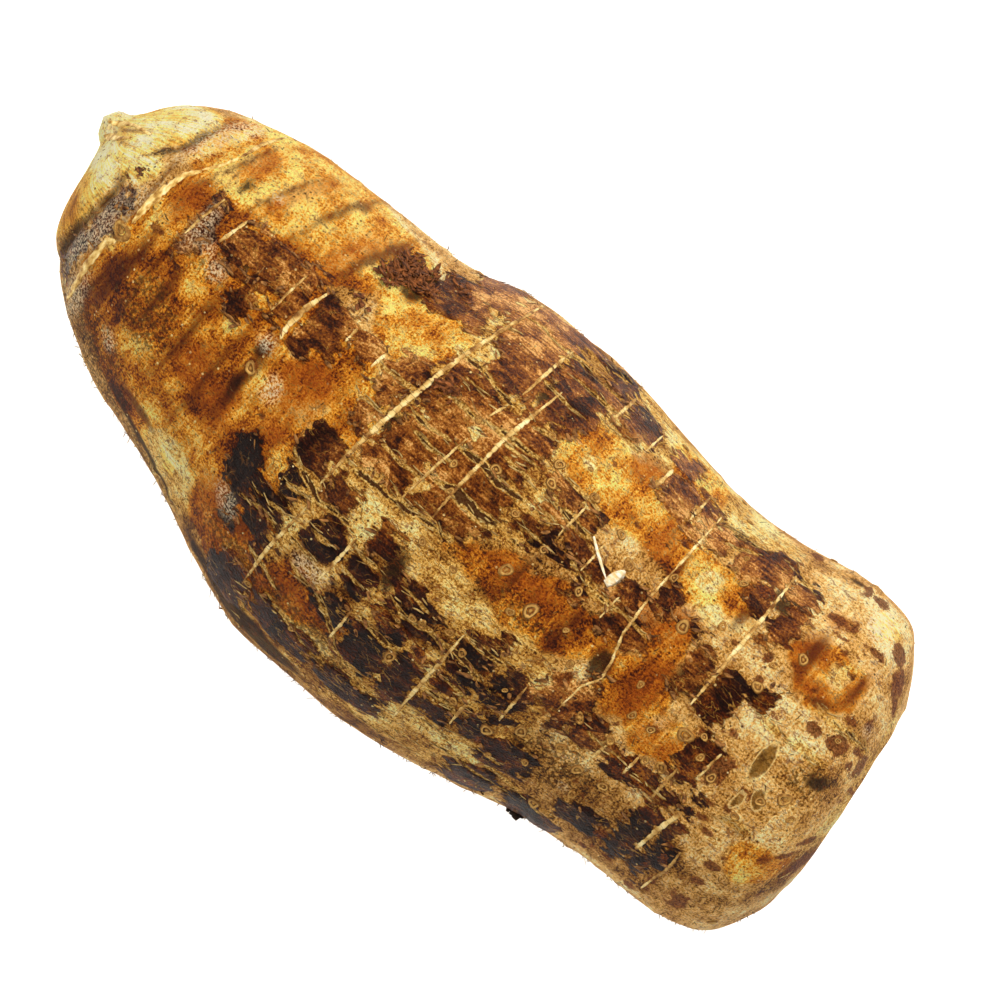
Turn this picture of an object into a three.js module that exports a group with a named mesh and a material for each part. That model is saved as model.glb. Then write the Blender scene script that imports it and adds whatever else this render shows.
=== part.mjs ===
// A large taro corm as it is lifted and trimmed for sale: one grown solid, lying on its side.
// Millimetres, +Z up. X runs from the crown bud to the cut base, and the origin is on the
// surface it lies on, under the middle of its bounding box.
import * as THREE from "three";
import { ParametricGeometry } from "three/addons/geometries/ParametricGeometry.js";

// Driving dimensions
const LENGTH = 240; // bud tip to the far edge of the cut base
const WIDTH = 107; // across the belly, both flanks
const HEIGHT = 97; // from the resting side to the top of the belly

// Mesh density
const AROUND = 56;
const ROWS_PER_STATION = 3;

// Sections of the corm from bud to base, as shares of the driving dimensions.
// along, sideways and up place the section's centre; lean is how far the section slants
// back, along per sideways, because the base was cut off askew.
const SECTIONS = [
  { along: 0.0, sideways: 0.121, up: 0.423, halfWidth: 0.0, halfHeight: 0.0, lean: 0 }, // bud tip
  { along: 0.008, sideways: 0.119, up: 0.423, halfWidth: 0.035, halfHeight: 0.035, lean: 0 },
  { along: 0.018, sideways: 0.114, up: 0.423, halfWidth: 0.049, halfHeight: 0.047, lean: 0 },
  { along: 0.026, sideways: 0.08, up: 0.423, halfWidth: 0.103, halfHeight: 0.108, lean: 0 }, // crown
  { along: 0.04, sideways: 0.047, up: 0.423, halfWidth: 0.178, halfHeight: 0.186, lean: 0 },
  { along: 0.063, sideways: 0.045, up: 0.428, halfWidth: 0.23, halfHeight: 0.242, lean: 0 },
  { along: 0.104, sideways: 0.036, up: 0.438, halfWidth: 0.29, halfHeight: 0.304, lean: 0 },
  { along: 0.175, sideways: 0.021, up: 0.448, halfWidth: 0.355, halfHeight: 0.371, lean: 0 }, // shoulder
  { along: 0.275, sideways: 0.0, up: 0.459, halfWidth: 0.393, halfHeight: 0.412, lean: 0 },
  { along: 0.367, sideways: -0.031, up: 0.474, halfWidth: 0.443, halfHeight: 0.46, lean: 0 },
  { along: 0.442, sideways: -0.03, up: 0.49, halfWidth: 0.486, halfHeight: 0.498, lean: 0 }, // belly
  { along: 0.542, sideways: -0.023, up: 0.49, halfWidth: 0.49, halfHeight: 0.503, lean: 0 },
  { along: 0.633, sideways: -0.018, up: 0.477, halfWidth: 0.467, halfHeight: 0.482, lean: 0.02 },
  { along: 0.727, sideways: 0.006, up: 0.46, halfWidth: 0.424, halfHeight: 0.44, lean: 0.05 }, // waist
  { along: 0.812, sideways: 0.033, up: 0.443, halfWidth: 0.42, halfHeight: 0.434, lean: 0.09 },
  { along: 0.885, sideways: 0.056, up: 0.438, halfWidth: 0.425, halfHeight: 0.442, lean: 0.16 }, // foot
  { along: 0.94, sideways: 0.077, up: 0.438, halfWidth: 0.404, halfHeight: 0.423, lean: 0.15 },
  { along: 0.966, sideways: 0.098, up: 0.438, halfWidth: 0.332, halfHeight: 0.355, lean: 0.17 },
  { along: 0.983, sideways: 0.103, up: 0.433, halfWidth: 0.234, halfHeight: 0.258, lean: 0.15 }, // cut rim
];

// Low swellings of the back and underside: share of the section's height, waves around and along.
const SWELLINGS = [
  { depth: 0.014, around: 2, along: 7, start: 1.1 },
  { depth: 0.01, around: 3, along: -13, start: 0.4 },
];

const coreLine = new THREE.CatmullRomCurve3(
  SECTIONS.map((s) => new THREE.Vector3(s.along * LENGTH, s.sideways * WIDTH, s.up * HEIGHT)),
  false,
  "catmullrom",
);
const girthLine = new THREE.CatmullRomCurve3(
  SECTIONS.map((s) => new THREE.Vector3(s.halfWidth * WIDTH, s.halfHeight * HEIGHT, s.lean)),
  false,
  "catmullrom",
);

function swelling(angle, share) {
  return SWELLINGS.reduce(
    (sum, w) => sum + w.depth * Math.sin(w.around * angle + w.along * share + w.start),
    1,
  );
}

// The skin as a closed sheet: around is 0 to 1 about the core, and down is 0 at the bud and 1 in
// the middle of the cut base. The last row closes the flat cut. Nothing reaches under the
// surface that the corm lies on, so its own weight leaves it two small flats there.
function corm(rows) {
  const sideRows = rows - 1;
  const core = new THREE.Vector3();
  const girth = new THREE.Vector3();
  return (around, down, point) => {
    const share = Math.min((down * rows) / sideRows, 1);
    const reach = Math.min((1 - down) * rows, 1);
    const angle = around * 2 * Math.PI;
    coreLine.getPoint(share, core);
    girthLine.getPoint(share, girth);
    const side = girth.x * reach * Math.cos(angle);
    const rise = girth.y * reach * Math.sin(angle) * swelling(angle, share);
    point.set(core.x - girth.z * side, core.y + side, Math.max(core.z + rise, 0));
  };
}

function makeCorm() {
  const rows = (SECTIONS.length - 1) * ROWS_PER_STATION + 1;
  const geometry = new ParametricGeometry(corm(rows), AROUND, rows);
  geometry.computeBoundingBox();
  const { min, max } = geometry.boundingBox;
  geometry.translate(-(min.x + max.x) / 2, -(min.y + max.y) / 2, -min.z);
  const skin = new THREE.MeshStandardMaterial({ color: 0x8f5f2e, roughness: 0.6, metalness: 0 });
  const mesh = new THREE.Mesh(geometry, skin);
  mesh.name = "corm";
  return mesh;
}

const taro = new THREE.Group();
taro.add(makeCorm());

export default taro;
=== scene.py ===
"""A large taro corm, lifted, trimmed and lying on its side on a pale floor."""
import bpy
import numpy as np
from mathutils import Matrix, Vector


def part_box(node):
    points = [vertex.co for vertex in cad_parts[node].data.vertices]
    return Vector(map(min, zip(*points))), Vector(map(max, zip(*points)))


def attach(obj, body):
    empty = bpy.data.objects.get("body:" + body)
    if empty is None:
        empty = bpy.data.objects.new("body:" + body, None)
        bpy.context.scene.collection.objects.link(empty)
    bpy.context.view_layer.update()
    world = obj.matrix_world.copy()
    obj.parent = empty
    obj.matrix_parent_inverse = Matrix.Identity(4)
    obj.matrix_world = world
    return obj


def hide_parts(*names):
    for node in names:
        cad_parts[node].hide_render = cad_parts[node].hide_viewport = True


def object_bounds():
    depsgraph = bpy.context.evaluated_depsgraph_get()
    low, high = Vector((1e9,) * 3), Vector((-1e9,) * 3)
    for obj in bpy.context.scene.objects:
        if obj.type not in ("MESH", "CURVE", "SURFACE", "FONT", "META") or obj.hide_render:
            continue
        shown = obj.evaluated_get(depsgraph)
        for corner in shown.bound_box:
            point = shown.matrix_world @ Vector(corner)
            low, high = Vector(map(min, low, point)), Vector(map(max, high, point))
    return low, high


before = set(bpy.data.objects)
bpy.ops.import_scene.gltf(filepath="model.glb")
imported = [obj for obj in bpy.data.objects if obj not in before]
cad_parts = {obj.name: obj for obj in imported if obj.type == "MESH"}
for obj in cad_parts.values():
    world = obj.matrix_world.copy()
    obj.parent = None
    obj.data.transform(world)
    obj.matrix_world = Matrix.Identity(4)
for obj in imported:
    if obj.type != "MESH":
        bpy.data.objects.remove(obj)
cad_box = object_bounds()


# The floor: a plain white studio board that glows a little, as a light table does, so that it
# stays paper white round the corm and throws light up onto its flanks.
def linear(colour):
    """An sRGB hex colour as linear red, green, blue and alpha: ((c + 0.055) / 1.055) ^ 2.4."""
    levels = np.array([int(colour[i:i + 2], 16) for i in (1, 3, 5)]) / 255
    curve = np.where(levels > 0.04045, ((levels + 0.055) / 1.055) ** 2.4, levels / 12.92)
    return (*curve.tolist(), 1.0)


def add(tree, kind, inputs=None, stops=None, out=0, **settings):
    """One node's output, by number or name, or the node itself where out is None. Settings are
    its properties, stops a ramp's places and colours, and inputs its sockets by name or number,
    each with a value, a hex colour, or another node's output to link."""
    node = tree.nodes.new("ShaderNode" + kind)
    for name, value in settings.items():
        setattr(node, name, value)
    for name, value in (inputs or {}).items():
        if isinstance(value, bpy.types.NodeSocket):
            tree.links.new(value, node.inputs[name])
        else:
            node.inputs[name].default_value = linear(value) if isinstance(value, str) else value
    if stops:
        ramp = node.color_ramp.elements
        while len(ramp) < len(stops):
            ramp.new(0.5)
        for element, (place, colour) in zip(ramp, stops):
            element.position = place
            element.color = linear(colour)
    return node if out is None else node.outputs[out]


def blank(name, sockets=None):
    """A new material with nodes, its tree, and its Principled shader with those sockets set."""
    material = bpy.data.materials.new(name)
    material.use_nodes = True
    tree = material.node_tree
    tree.nodes.clear()
    shader = add(tree, "BsdfPrincipled", sockets, out=None)
    add(tree, "OutputMaterial", {"Surface": shader.outputs["BSDF"]}, out=None)
    return material, tree, shader


FLOOR_HALF = 1.6  # metres
corners = [(-1, -1), (1, -1), (1, 1), (-1, 1)]
sheet = bpy.data.meshes.new("floor")
sheet.from_pydata([(x * FLOOR_HALF, y * FLOOR_HALF, 0) for x, y in corners], [], [(0, 1, 2, 3)])
floor = bpy.data.objects.new("floor", sheet)
bpy.context.scene.collection.objects.link(floor)
# Matt white board, lit a little from inside: an even white ground with hardly a shadow.
sheet.materials.append(blank("white light table", {
    "Base Color": "#f4f4f2", "Roughness": 0.9, "Emission Color": "#ffffff", "Emission Strength": 0.6})[0])


# Studio light: one large soft box over the corm's far flank, a weaker one over its back, and a
# bright room all round. The far flank and the crown glow, and the near flank stays darker.
def soft_box(name, place, width, watts, colour):
    """A square area light at a place in metres, turned to face the corm: its -Z axis runs along
    the middle of the corm's box less the place."""
    data = bpy.data.lights.new(name, "AREA")
    data.size = width
    data.energy = watts
    data.color = linear(colour)[:3]
    lamp = bpy.data.objects.new(name, data)
    lamp.location = place
    aim = np.array(cad_box).mean(0) - place
    lamp.rotation_euler = type(cad_box[0])(aim).to_track_quat("-Z", "Y").to_euler()
    bpy.context.scene.collection.objects.link(lamp)


soft_box("far flank light", (0.05, 0.9, 0.95), 0.45, 15, "#fff6ea")
soft_box("top light", (-0.35, -0.5, 1.4), 0.6, 12, "#fffaf2")
world = bpy.data.worlds.new("bright room")
world.use_nodes = True
room = world.node_tree.nodes["Background"].inputs
room["Color"].default_value = linear("#fffaf2")
room["Strength"].default_value = 0.32
bpy.context.scene.world = world
bpy.context.scene.view_settings.view_transform = "Standard"

# The camera looks straight down from far off through a long lens, and is turned so that the
# corm runs across the frame from top left to bottom right.
LENS_MM = 300.0
SENSOR_MM = 36.0
FRAME_WIDTH = 0.2338416  # metres across the frame at the height it looks at
SIGHT = (0.0095, 0.0099, 0.047)  # metres: the point it looks at, close to the middle of the corm
TURN = np.radians(41.9)
view = bpy.data.cameras.new("camera")
view.lens = LENS_MM
view.sensor_width = SENSOR_MM
view.clip_end = 20
camera = bpy.data.objects.new("camera", view)
camera.location = (SIGHT[0], SIGHT[1], SIGHT[2] + FRAME_WIDTH * LENS_MM / SENSOR_MM)
camera.rotation_euler = (0, 0, TURN)
bpy.context.scene.collection.objects.link(camera)
bpy.context.scene.camera = camera


# The corm itself: one swollen underground stem, grown from the cut base towards the crown bud.
# Its form is a run of oval sections on a bent core. Millimetres, measured from the bud tip.
LENGTH = 240.0
WIDTH = 107.0
HEIGHT = 97.0
SECTIONS = np.array([  # shares: along, sideways, up, half width, half height, lean
    (0.000, 0.121, 0.423, 0.000, 0.000, 0.00),
    (0.008, 0.119, 0.423, 0.035, 0.035, 0.00),
    (0.018, 0.114, 0.423, 0.049, 0.047, 0.00),
    (0.026, 0.080, 0.423, 0.103, 0.108, 0.00),
    (0.040, 0.047, 0.423, 0.178, 0.186, 0.00),
    (0.063, 0.045, 0.428, 0.230, 0.242, 0.00),
    (0.104, 0.036, 0.438, 0.290, 0.304, 0.00),
    (0.175, 0.021, 0.448, 0.355, 0.371, 0.00),
    (0.275, 0.000, 0.459, 0.393, 0.412, 0.00),
    (0.367, -0.031, 0.474, 0.443, 0.460, 0.00),
    (0.442, -0.030, 0.490, 0.486, 0.498, 0.00),
    (0.542, -0.023, 0.490, 0.490, 0.503, 0.00),
    (0.633, -0.018, 0.477, 0.467, 0.482, 0.02),
    (0.727, 0.006, 0.460, 0.424, 0.440, 0.05),
    (0.812, 0.033, 0.443, 0.420, 0.434, 0.09),
    (0.885, 0.056, 0.438, 0.425, 0.442, 0.16),
    (0.940, 0.077, 0.438, 0.404, 0.423, 0.15),
    (0.966, 0.098, 0.438, 0.332, 0.355, 0.17),
    (0.983, 0.103, 0.433, 0.234, 0.258, 0.15),
]) * (LENGTH, WIDTH, HEIGHT, WIDTH, HEIGHT, 1)
SWELLINGS = ((0.014, 2, 7, 1.1), (0.01, 3, -13, 0.4))  # depth, waves around, waves along, start


def section(share):
    """The section at a share of the way down the table, by uniform Catmull-Rom cubics: between
    rows b and c, (2b + (c-a)t + (2a-5b+4c-d)t^2 + (3b-a-3c+d)t^3) / 2, the ends mirrored."""
    last = len(SECTIONS) - 1
    rows = np.vstack([2 * SECTIONS[0] - SECTIONS[1], SECTIONS, 2 * SECTIONS[-1] - SECTIONS[-2]])
    row = np.clip((np.asarray(share) * last).astype(int), 0, last - 1)
    t = (share * last - row)[..., None]
    a, b, c, d = (rows[row + k] for k in range(4))
    bend = (2 * a - 5 * b + 4 * c - d) * t**2 + (3 * b - a - 3 * c + d) * t**3
    return np.moveaxis((2 * b + (c - a) * t + bend) / 2, -1, 0)


def body(share, reach, round_):
    """A point of the corm: along - lean·side, sideways + side, up + rise, where side is half
    width·reach·sin(round) and rise is half height·reach·cos(round) times the low swellings.
    Round is the angle from the top of the back towards +Y."""
    along, sideways, up, half_width, half_height, lean = section(share)
    angle = np.pi / 2 - round_
    swelling = 1 + sum(d * np.sin(a * angle + b * share + s) for d, a, b, s in SWELLINGS)
    side = half_width * reach * np.sin(round_)
    rise = half_height * reach * np.cos(round_) * swelling
    return np.stack([along - lean * side, sideways + side, up + rise], -1)


# The skin's grid: rows evenly spaced down the flank and then in across the cut base.
AROUND = 432
FLANK_ROWS = 216
BASE_ROWS = 14
fine = np.linspace(0, 1, 4000)
profile = section(fine)[[0, 4]]
length = np.concatenate([[0], np.cumsum(np.hypot(*np.diff(profile)))])
flank = np.interp(np.linspace(0, length[-1], FLANK_ROWS), length, fine)
row_share = np.concatenate([flank, np.ones(BASE_ROWS)])
row_reach = np.concatenate([np.ones(FLANK_ROWS), 1 - np.arange(1, BASE_ROWS + 1) / BASE_ROWS])
# Columns stand closest on the back: round = pi·(0.62t + 0.38t^3) for t from -1 to 1.
spread = np.linspace(-1, 1, AROUND, endpoint=False)
column_round = np.pi * (0.62 * spread + 0.38 * spread**3)
share, round_ = np.meshgrid(row_share, column_round, indexing="ij")
reach = np.repeat(row_reach[:, None], AROUND, 1)
smooth = body(share, reach, round_)
low = smooth.min((0, 1)) * (1, 1, 0)
low[2] = 0.0
high = smooth.max((0, 1))
middle = np.array([(low[0] + high[0]) / 2, (low[1] + high[1]) / 2, 0.0])
corner_low, corner_high = (np.array(c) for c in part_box("corm"))
to_frame = (corner_high - corner_low) / (high - low)
frame_middle = np.array([*(corner_low + corner_high)[:2] / 2, corner_low[2]])


def in_frame(points):
    """Millimetres from the bud tip turned to metres in the frame, by the CAD corm's own box."""
    placed = frame_middle + (points - middle) * to_frame
    placed[..., 2] = np.maximum(placed[..., 2], corner_low[2])
    return placed


def outward(grid):
    """Unit normals of a grid that wraps round its second axis: the cross product of the steps
    along and around, turned away from the corm's core."""
    down = np.gradient(grid, axis=0)
    over = np.roll(grid, -1, 1) - np.roll(grid, 1, 1)
    normal = np.cross(over, down)
    normal /= np.maximum(np.linalg.norm(normal, axis=-1, keepdims=True), 1e-9)
    core = grid.mean(1, keepdims=True)
    return normal * np.sign(((grid - core) * normal).sum(-1).mean())


LATTICE = 48


def lumps(points, size, seed):
    """Smooth noise from -1 to 1: random values on a cubic lattice that many millimetres apart,
    blended between its corners with weights t·t·(3-2t)."""
    lattice = np.random.default_rng(seed).uniform(-1, 1, (LATTICE,) * 3)
    cell = np.floor(points / size).astype(int)
    t = points / size - cell
    t = t * t * (3 - 2 * t)
    total = 0
    for corner in np.ndindex(2, 2, 2):
        weight = np.prod(np.where(corner, t, 1 - t), axis=-1)
        i, j, k = np.moveaxis((cell + corner) % LATTICE, -1, 0)
        total = total + weight * lattice[i, j, k]
    return total


def surface_place(x, y):
    """Share down the corm and angle round it of the point of its back at x and y, found by
    stepping the lean back three times."""
    x, y = np.asarray(x, float), np.asarray(y, float)
    along = x
    table = section(fine)[0]
    for _ in range(3):
        share = np.interp(along, table, fine)
        _, sideways, _, half_width, _, lean = section(share)
        along = x + lean * (y - sideways)
    return share, np.arcsin(np.clip((y - sideways) / half_width, -0.995, 0.995))


flank_x = smooth[:FLANK_ROWS, 0, 0]
smooth_normal = outward(smooth)
smooth_normal[FLANK_ROWS + 1:] = smooth_normal[FLANK_ROWS + 4, 0]  # the cut face is flat
_, _, _, half_width, half_height, _ = section(share)
arm = (half_width + half_height) / 2 * reach
# How far an outline strays at each point of the skin, along and around, in millimetres.
waver = np.stack([lumps(smooth, 7.0, 11 + k) * 1.3 + lumps(smooth, 2.6, 21 + k) * 0.5 for k in (0, 1)])
OUTSIDE = -30.0  # millimetres, for a point that is nowhere near a mark


def inside(marks, power=2.0, ragged=1.0):
    """How far inside the marks each point of the skin is, in millimetres. A mark is an oval or
    rounded box as seen from above: x, y, half size along, half size across, and maybe a turn in
    degrees. Laid round the corm its depth is the smaller half size times
    1 - (|u/a|^p + |v/b|^p)^(1/p), and the largest counts. Each mark has a twin half a turn
    round, on the side the corm lies on."""
    deepest = np.full(smooth.shape[:2], OUTSIDE)
    for x, y, a, across, *turn in marks:
        _, ends = surface_place([x, x], [y - across, y + across])
        centre = ends.mean()
        angle = np.radians(turn[0] if turn else 0)
        cos, sin = np.cos(angle), np.sin(angle)
        b = max(np.ptp(ends) / 2 * np.interp(x, flank_x, arm[:FLANK_ROWS, 0]), across)
        for twin in (0, np.pi):
            off = (round_ - centre - twin + np.pi) % (2 * np.pi) - np.pi
            u = smooth[..., 0] - x + waver[0] * ragged
            v = off * arm + waver[1] * ragged
            along, around = u * cos + v * sin, v * cos - u * sin
            oval = (np.abs(along / a) ** power + np.abs(around / b) ** power) ** (1 / power)
            deepest = np.maximum(deepest, min(a, b) * (1 - oval))
    return deepest


def lay_out(route, spacing):
    """A route of points seen from above as evenly spaced shares and angles on the skin, its
    corners eased by a running mean of five with weights 1, 2, 3, 2, 1."""
    x, y = np.array(route, float).T
    far = np.concatenate([[0], np.cumsum(np.hypot(np.diff(x), np.diff(y)))])
    at = np.linspace(0, far[-1], max(int(far[-1] / spacing), 4) + 1)
    kernel = np.array([1, 2, 3, 2, 1]) / 9
    eased = [np.convolve(np.pad(np.interp(at, far, r), 2, mode="edge"), kernel, "valid") for r in (x, y)]
    return surface_place(*eased)


def near(lines):
    """How far inside a torn split along any of the lines each point of the skin is, in
    millimetres: half width·sin(pi·t)^0.5 at t along the line, less the distance, at its most."""
    deepest = np.full(smooth.shape[:2], OUTSIDE)
    for width, route in lines:
        share, angle = lay_out(route, 0.7)
        x = body(share, 1.0, angle)[:, 0]
        half = width / 2 * np.sin(np.linspace(0.02, 0.98, len(x)) * np.pi) ** 0.5
        rows = np.flatnonzero(np.abs(smooth[:, 0, 0] - x.mean()) < np.ptp(x) / 2 + 14)
        patch = slice(rows[0], rows[-1] + 1)
        u = (smooth[patch, :, 0] + 0.5 * waver[0, patch])[..., None] - x
        for twin in (0, np.pi):
            off = (round_[patch, :, None] - angle - twin + np.pi) % (2 * np.pi) - np.pi
            v = off * arm[patch, :, None] + 0.4 * waver[1, patch, :, None]
            deepest[patch] = np.maximum(deepest[patch], (half - np.hypot(u, v)).max(-1))
    return deepest


def soft(depth, edge):
    """0 to 1 across a soft edge that many millimetres wide, centred on the outline."""
    t = np.clip(depth / edge + 0.5, 0, 1)
    return t * t * (3 - 2 * t)


def box(x0, x1, y0, y1, turn=0.0):
    """A mark given by its ends: the middle is their mean, and a half size is half their gap."""
    return (x0 + x1) / 2, (y0 + y1) / 2, (x1 - x0) / 2, (y1 - y0) / 2, turn


# Brown papery skin, the old outer bark, left in plates between the leaf scars.
PLATES = [
    box(15.3, 20.3, -20, 2.5), box(34.3, 38.6, 2, 16.5), box(42.5, 50.5, 5.5, 18),
    box(49, 60.5, 8.5, 18), box(52.3, 57.6, -2, 9), box(60.3, 66, 4, 19.5), box(68.4, 78.6, 5.5, 17),
    box(68, 75, 1.5, 8), box(79.2, 87.6, 10.5, 16.5), box(88, 98.6, 9.5, 16.5),
    box(90.5, 98.8, 14, 19.8), box(91.5, 97.5, 5, 10), box(90, 96.8, -1.5, 4.8),
    box(86, 96, -15.5, -5.5), box(84, 100, 30.8, 38), box(86, 96, 37, 41), box(92, 103, 38, 49.5),
    box(103, 134, 27, 49), box(100, 131, 11, 28), box(98, 131, -6, 12), box(130, 137, 39, 49),
    box(137.5, 146.6, 38.5, 46), box(136, 143.8, 16.2, 21.3), box(136, 144, 10.3, 15.3),
    box(145.3, 151, 15.8, 20.6), box(145.5, 153, 10.2, 15), box(153.5, 160, 9.5, 14),
    box(136, 144, 4, 10), box(145.5, 152.5, 6.6, 9.6), box(154.5, 158.4, 0.5, 5),
    box(151.5, 160, 40.5, 45.5), box(154.2, 164.2, 32.6, 39.5), box(165, 169.6, 31, 41.2),
    box(170.3, 177, 32.5, 38), box(177.3, 191.5, 32.5, 40.5), box(184, 191, 38, 42.5),
    box(186, 192, 28, 34), box(193.5, 200.5, 34.5, 41), box(195, 201, 24.5, 34.6),
    box(186, 192, 2.5, 14.6), box(193.2, 203, 2, 14), box(200, 207, 11, 16), box(171, 177, 12, 20),
    box(161, 169.5, 9, 15), box(163, 176, 1, 9), box(178, 184.5, 14.5, 16.8),
    box(76.5, 84, -31, -19, 24), box(80.5, 84.6, -36, -22, 15), box(87.5, 96, -24.3, -17),
    box(83.8, 96.4, -30, -25.3), box(84, 97, -35.4, -31), box(93, 98.5, -41, -36),
    box(98, 105, -18.4, -11), box(101, 110, -29.4, -21.6), box(113.5, 119.4, -20.4, -13),
    box(112, 120.5, -31, -23.6), box(113.5, 121.5, -39.5, -33.6, -30), box(124.4, 136.6, -24.4, -18.6),
    box(124, 144, -28, -25), box(124, 134.5, -33, -28.8), box(121.8, 135, -43, -34),
    box(136, 144, -43, -29.6), box(144.8, 153, -19.4, -14.4), box(144.8, 153.6, -24.4, -20.4),
    box(144.8, 162, -30.4, -26.2), box(144.8, 155, -34.4, -31.4), box(145, 155, -40.4, -36),
    box(155.6, 162.4, -24.4, -17.4), box(156.4, 163, -37.4, -30.8), box(161.8, 165.4, -24, -18.8),
    box(164.8, 170.5, -19, -12.4), box(171, 176.2, -22.4, -7.5), box(176, 184.4, -21, -14.4),
    box(163.5, 176, -39, -31), box(184.8, 206.5, -20.8, -14.8), box(200.4, 206.4, -34, -20.4),
    box(207.5, 211.4, -34, -17.4), box(211, 214.6, -31.5, -25.6), box(101, 122, -50.6, -45),
    box(88, 99.5, -50, -42.6), box(124, 140, -50, -46), box(160, 172, -47, -41.6),
    box(176, 190, -44, -38.6), box(198, 206, -12.6, -0.6), box(186, 197, -36.5, -31.6),
]
# Redder, paler plates on the back, where the bark is thinner.
REDDISH = [
    (115, 20, 24, 30), (72, 10, 34, 14), (150, 14, 14, 6), (162, 36, 18, 9), (104, -3, 12, 7),
    (170, 8, 16, 9), (189, 10, 5, 5), (186, 36, 8, 9), (157, 3, 4, 4), (101, -15, 5, 5),
    (149, -17, 5, 3), (174, -14, 12, 8), (98, 45, 12, 9), (197, 31, 6, 9), (36.5, 9, 3, 8),
    (113, 44, 20, 8),
]
# Pale tissue showing where the bark has flaked off the plates.
BARE = [
    (104.2, 33, 0.9, 2.2, 12), (105.7, 31, 0.9, 1.6, -12), (117, 25.5, 3.4, 2.0, 10),
    (115.5, 14, 1.6, 3.0), (124.5, 12.6, 3.2, 1.5), (126, 46.5, 6, 1.4, 5), (98.6, 4, 1.3, 9, 4),
    (134.3, 14.5, 2.0, 6), (99, 27.5, 2.4, 1.4), (101, 39, 3, 0.8), (113.6, -2, 0.9, 6),
    (97.8, -27, 2.2, 11), (86, -20, 3, 4.6), (106, -11.6, 5, 1.8, -6), (130, -13, 7, 4.4),
    (111.6, -24, 1.5, 12), (142.5, -14.4, 8, 4.2, 5), (122.8, -31, 1.4, 9), (153.5, -22, 1.4, 4),
    (154.2, -33, 1.2, 5), (154, 46, 5, 1.5), (144, -31, 1.2, 11), (129, 44.2, 7, 0.9),
    (120, 37, 0.7, 5), (146, 4.6, 9, 1.2), (131.5, 17.5, 2.4, 2.6, 30), (161.4, -24, 1.4, 1.0),
]
# Sun-dried amber skin, where the outer bark is gone and the cork is smooth.
AMBER = [
    (52, -6, 31, 30), (50, 30, 32, 16), (88, 24, 13, 8), (84, 2, 14, 12), (88, -40, 16, 7, -10),
    (110, -39.5, 12, 4.5, -8), (150, 29, 20, 9), (173, 26, 18, 6), (152, -4, 23, 7), (182, -5, 10, 9),
    (212, 27, 9, 8), (160, 42, 10, 4), (80, -20, 10, 12), (181, 9, 5, 6), (196, -8, 6, 5),
    (229, -16, 6, 5),
]
# Places lighter than their surroundings: bleached skin, and a painted sheen along the upper and lower edges.
FAIR_AND_SHEEN = [
    (56, 27, 20, 7), (90, 24, 8, 6), (142, -15, 5, 3), (107, -12, 5, 3), (130, -13, 6, 3),
    (98, -26, 2.6, 10), (111.6, -24, 2, 12), (122.8, -31, 2, 9), (86, -20, 3.5, 5), (144, -31, 1.6, 11),
    (2, 0, 5, 6), (52, 33, 34, 13), (46, 24, 22, 5), (150, -45, 18, 5), (104, -52, 10, 2),
    (168, 44, 22, 4), (26, 26, 4, 8, -16), (108, 42, 12, 6), (195, 33, 7, 8), (115, 14, 14, 8),
    (9, 22, 16, 16), (40, 34, 16, 6), (144, 30, 7, 4), (174, 26, 10, 4), (178.5, 26.5, 4, 3),
    (183, 21.5, 4, 3.4), (66, -36, 9, 5, -15), (215, 46, 10, 5), (212, 12, 8, 7), (214, 29.5, 3, 4),
    (229, -16.5, 3, 3), (58, -4, 2.5, 6), (43, 33, 5, 5), (82, 23.6, 4, 2), (203, 44, 8, 4),
    (146, -46, 12, 3),
]
# Places darker than their surroundings, among them a long band along the lower edge.
DEEP = [
    (30, -14, 6, 10), (58, 13, 24, 5), (108, -32, 24, 12), (146, -30, 20, 14), (152, -5, 18, 6),
    (122, -20.5, 3, 6, 8), (62, -10, 5, 8), (40, -31, 20, 4, -16), (58, -18, 14, 6), (150, 2, 16, 4),
    (178, 12, 8, 6), (118, -52, 60, 6), (182, -3, 4, 8), (229, -22.6, 6, 1.4), (222.6, -17, 1.4, 5),
    (10, -14, 5, 9), (195, -32, 30, 8), (226, 8, 6, 5), (237, -9, 5, 7), (190, 6, 12, 5),
    (91, -26, 8, 10), (105, -25, 6, 5), (116, -27, 5, 5), (130, -30, 8, 8), (159, -33, 5, 6),
    (149, -29, 6, 4), (140, 7, 5, 4), (148, 12, 5, 4), (128, 32, 4, 5), (127, 46, 6, 5),
    (25, 22, 5, 9, -14), (79, -27, 5, 10, 20), (172, -35, 6, 5), (205, -25, 5, 10),
]
# The cream sheath about the bud, and the palest scraps elsewhere.
CREAM = [
    (3, 4, 10.0, 60), (26.5, 26, 2.6, 7, -16), (11, 25, 12, 13, -14), (15.2, 11, 4.6, 6),
    (216, 46, 4, 3), (66, -36.6, 3.4, 1.5, -15), (22, -7.5, 1.6, 1.0),
]
# Chips: small places where the amber has flaked down to the straw.
CHIPS = [
    (66, -35.6, 7.5, 3.6, -15), (67, -36, 5, 2.4, -15), (178.3, 27, 3.0, 2.4, -35),
    (183, 21.6, 3.0, 2.4, -35), (213.8, 29, 2.6, 3.0, 20), (72, 2, 2.4, 1.6, 30), (105.5, 32, 1.2, 2.6),
    (140, 28, 2.0, 1.4), (190, 24, 1.6, 2.2), (184, -12.6, 2.2, 1.2),
]
# Straw-coloured torn cork, between and below the plates.
STRAW = [
    (178.5, 26.5, 3.4, 2.4), (183, 21.5, 3.2, 2.8), (214, 29.5, 3, 3.4), (124, -27, 46, 30),
    (101, -2, 8, 16), (150, 44, 40, 6), (66, -36, 12, 7, -15), (120, 15, 24, 36),
]
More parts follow.
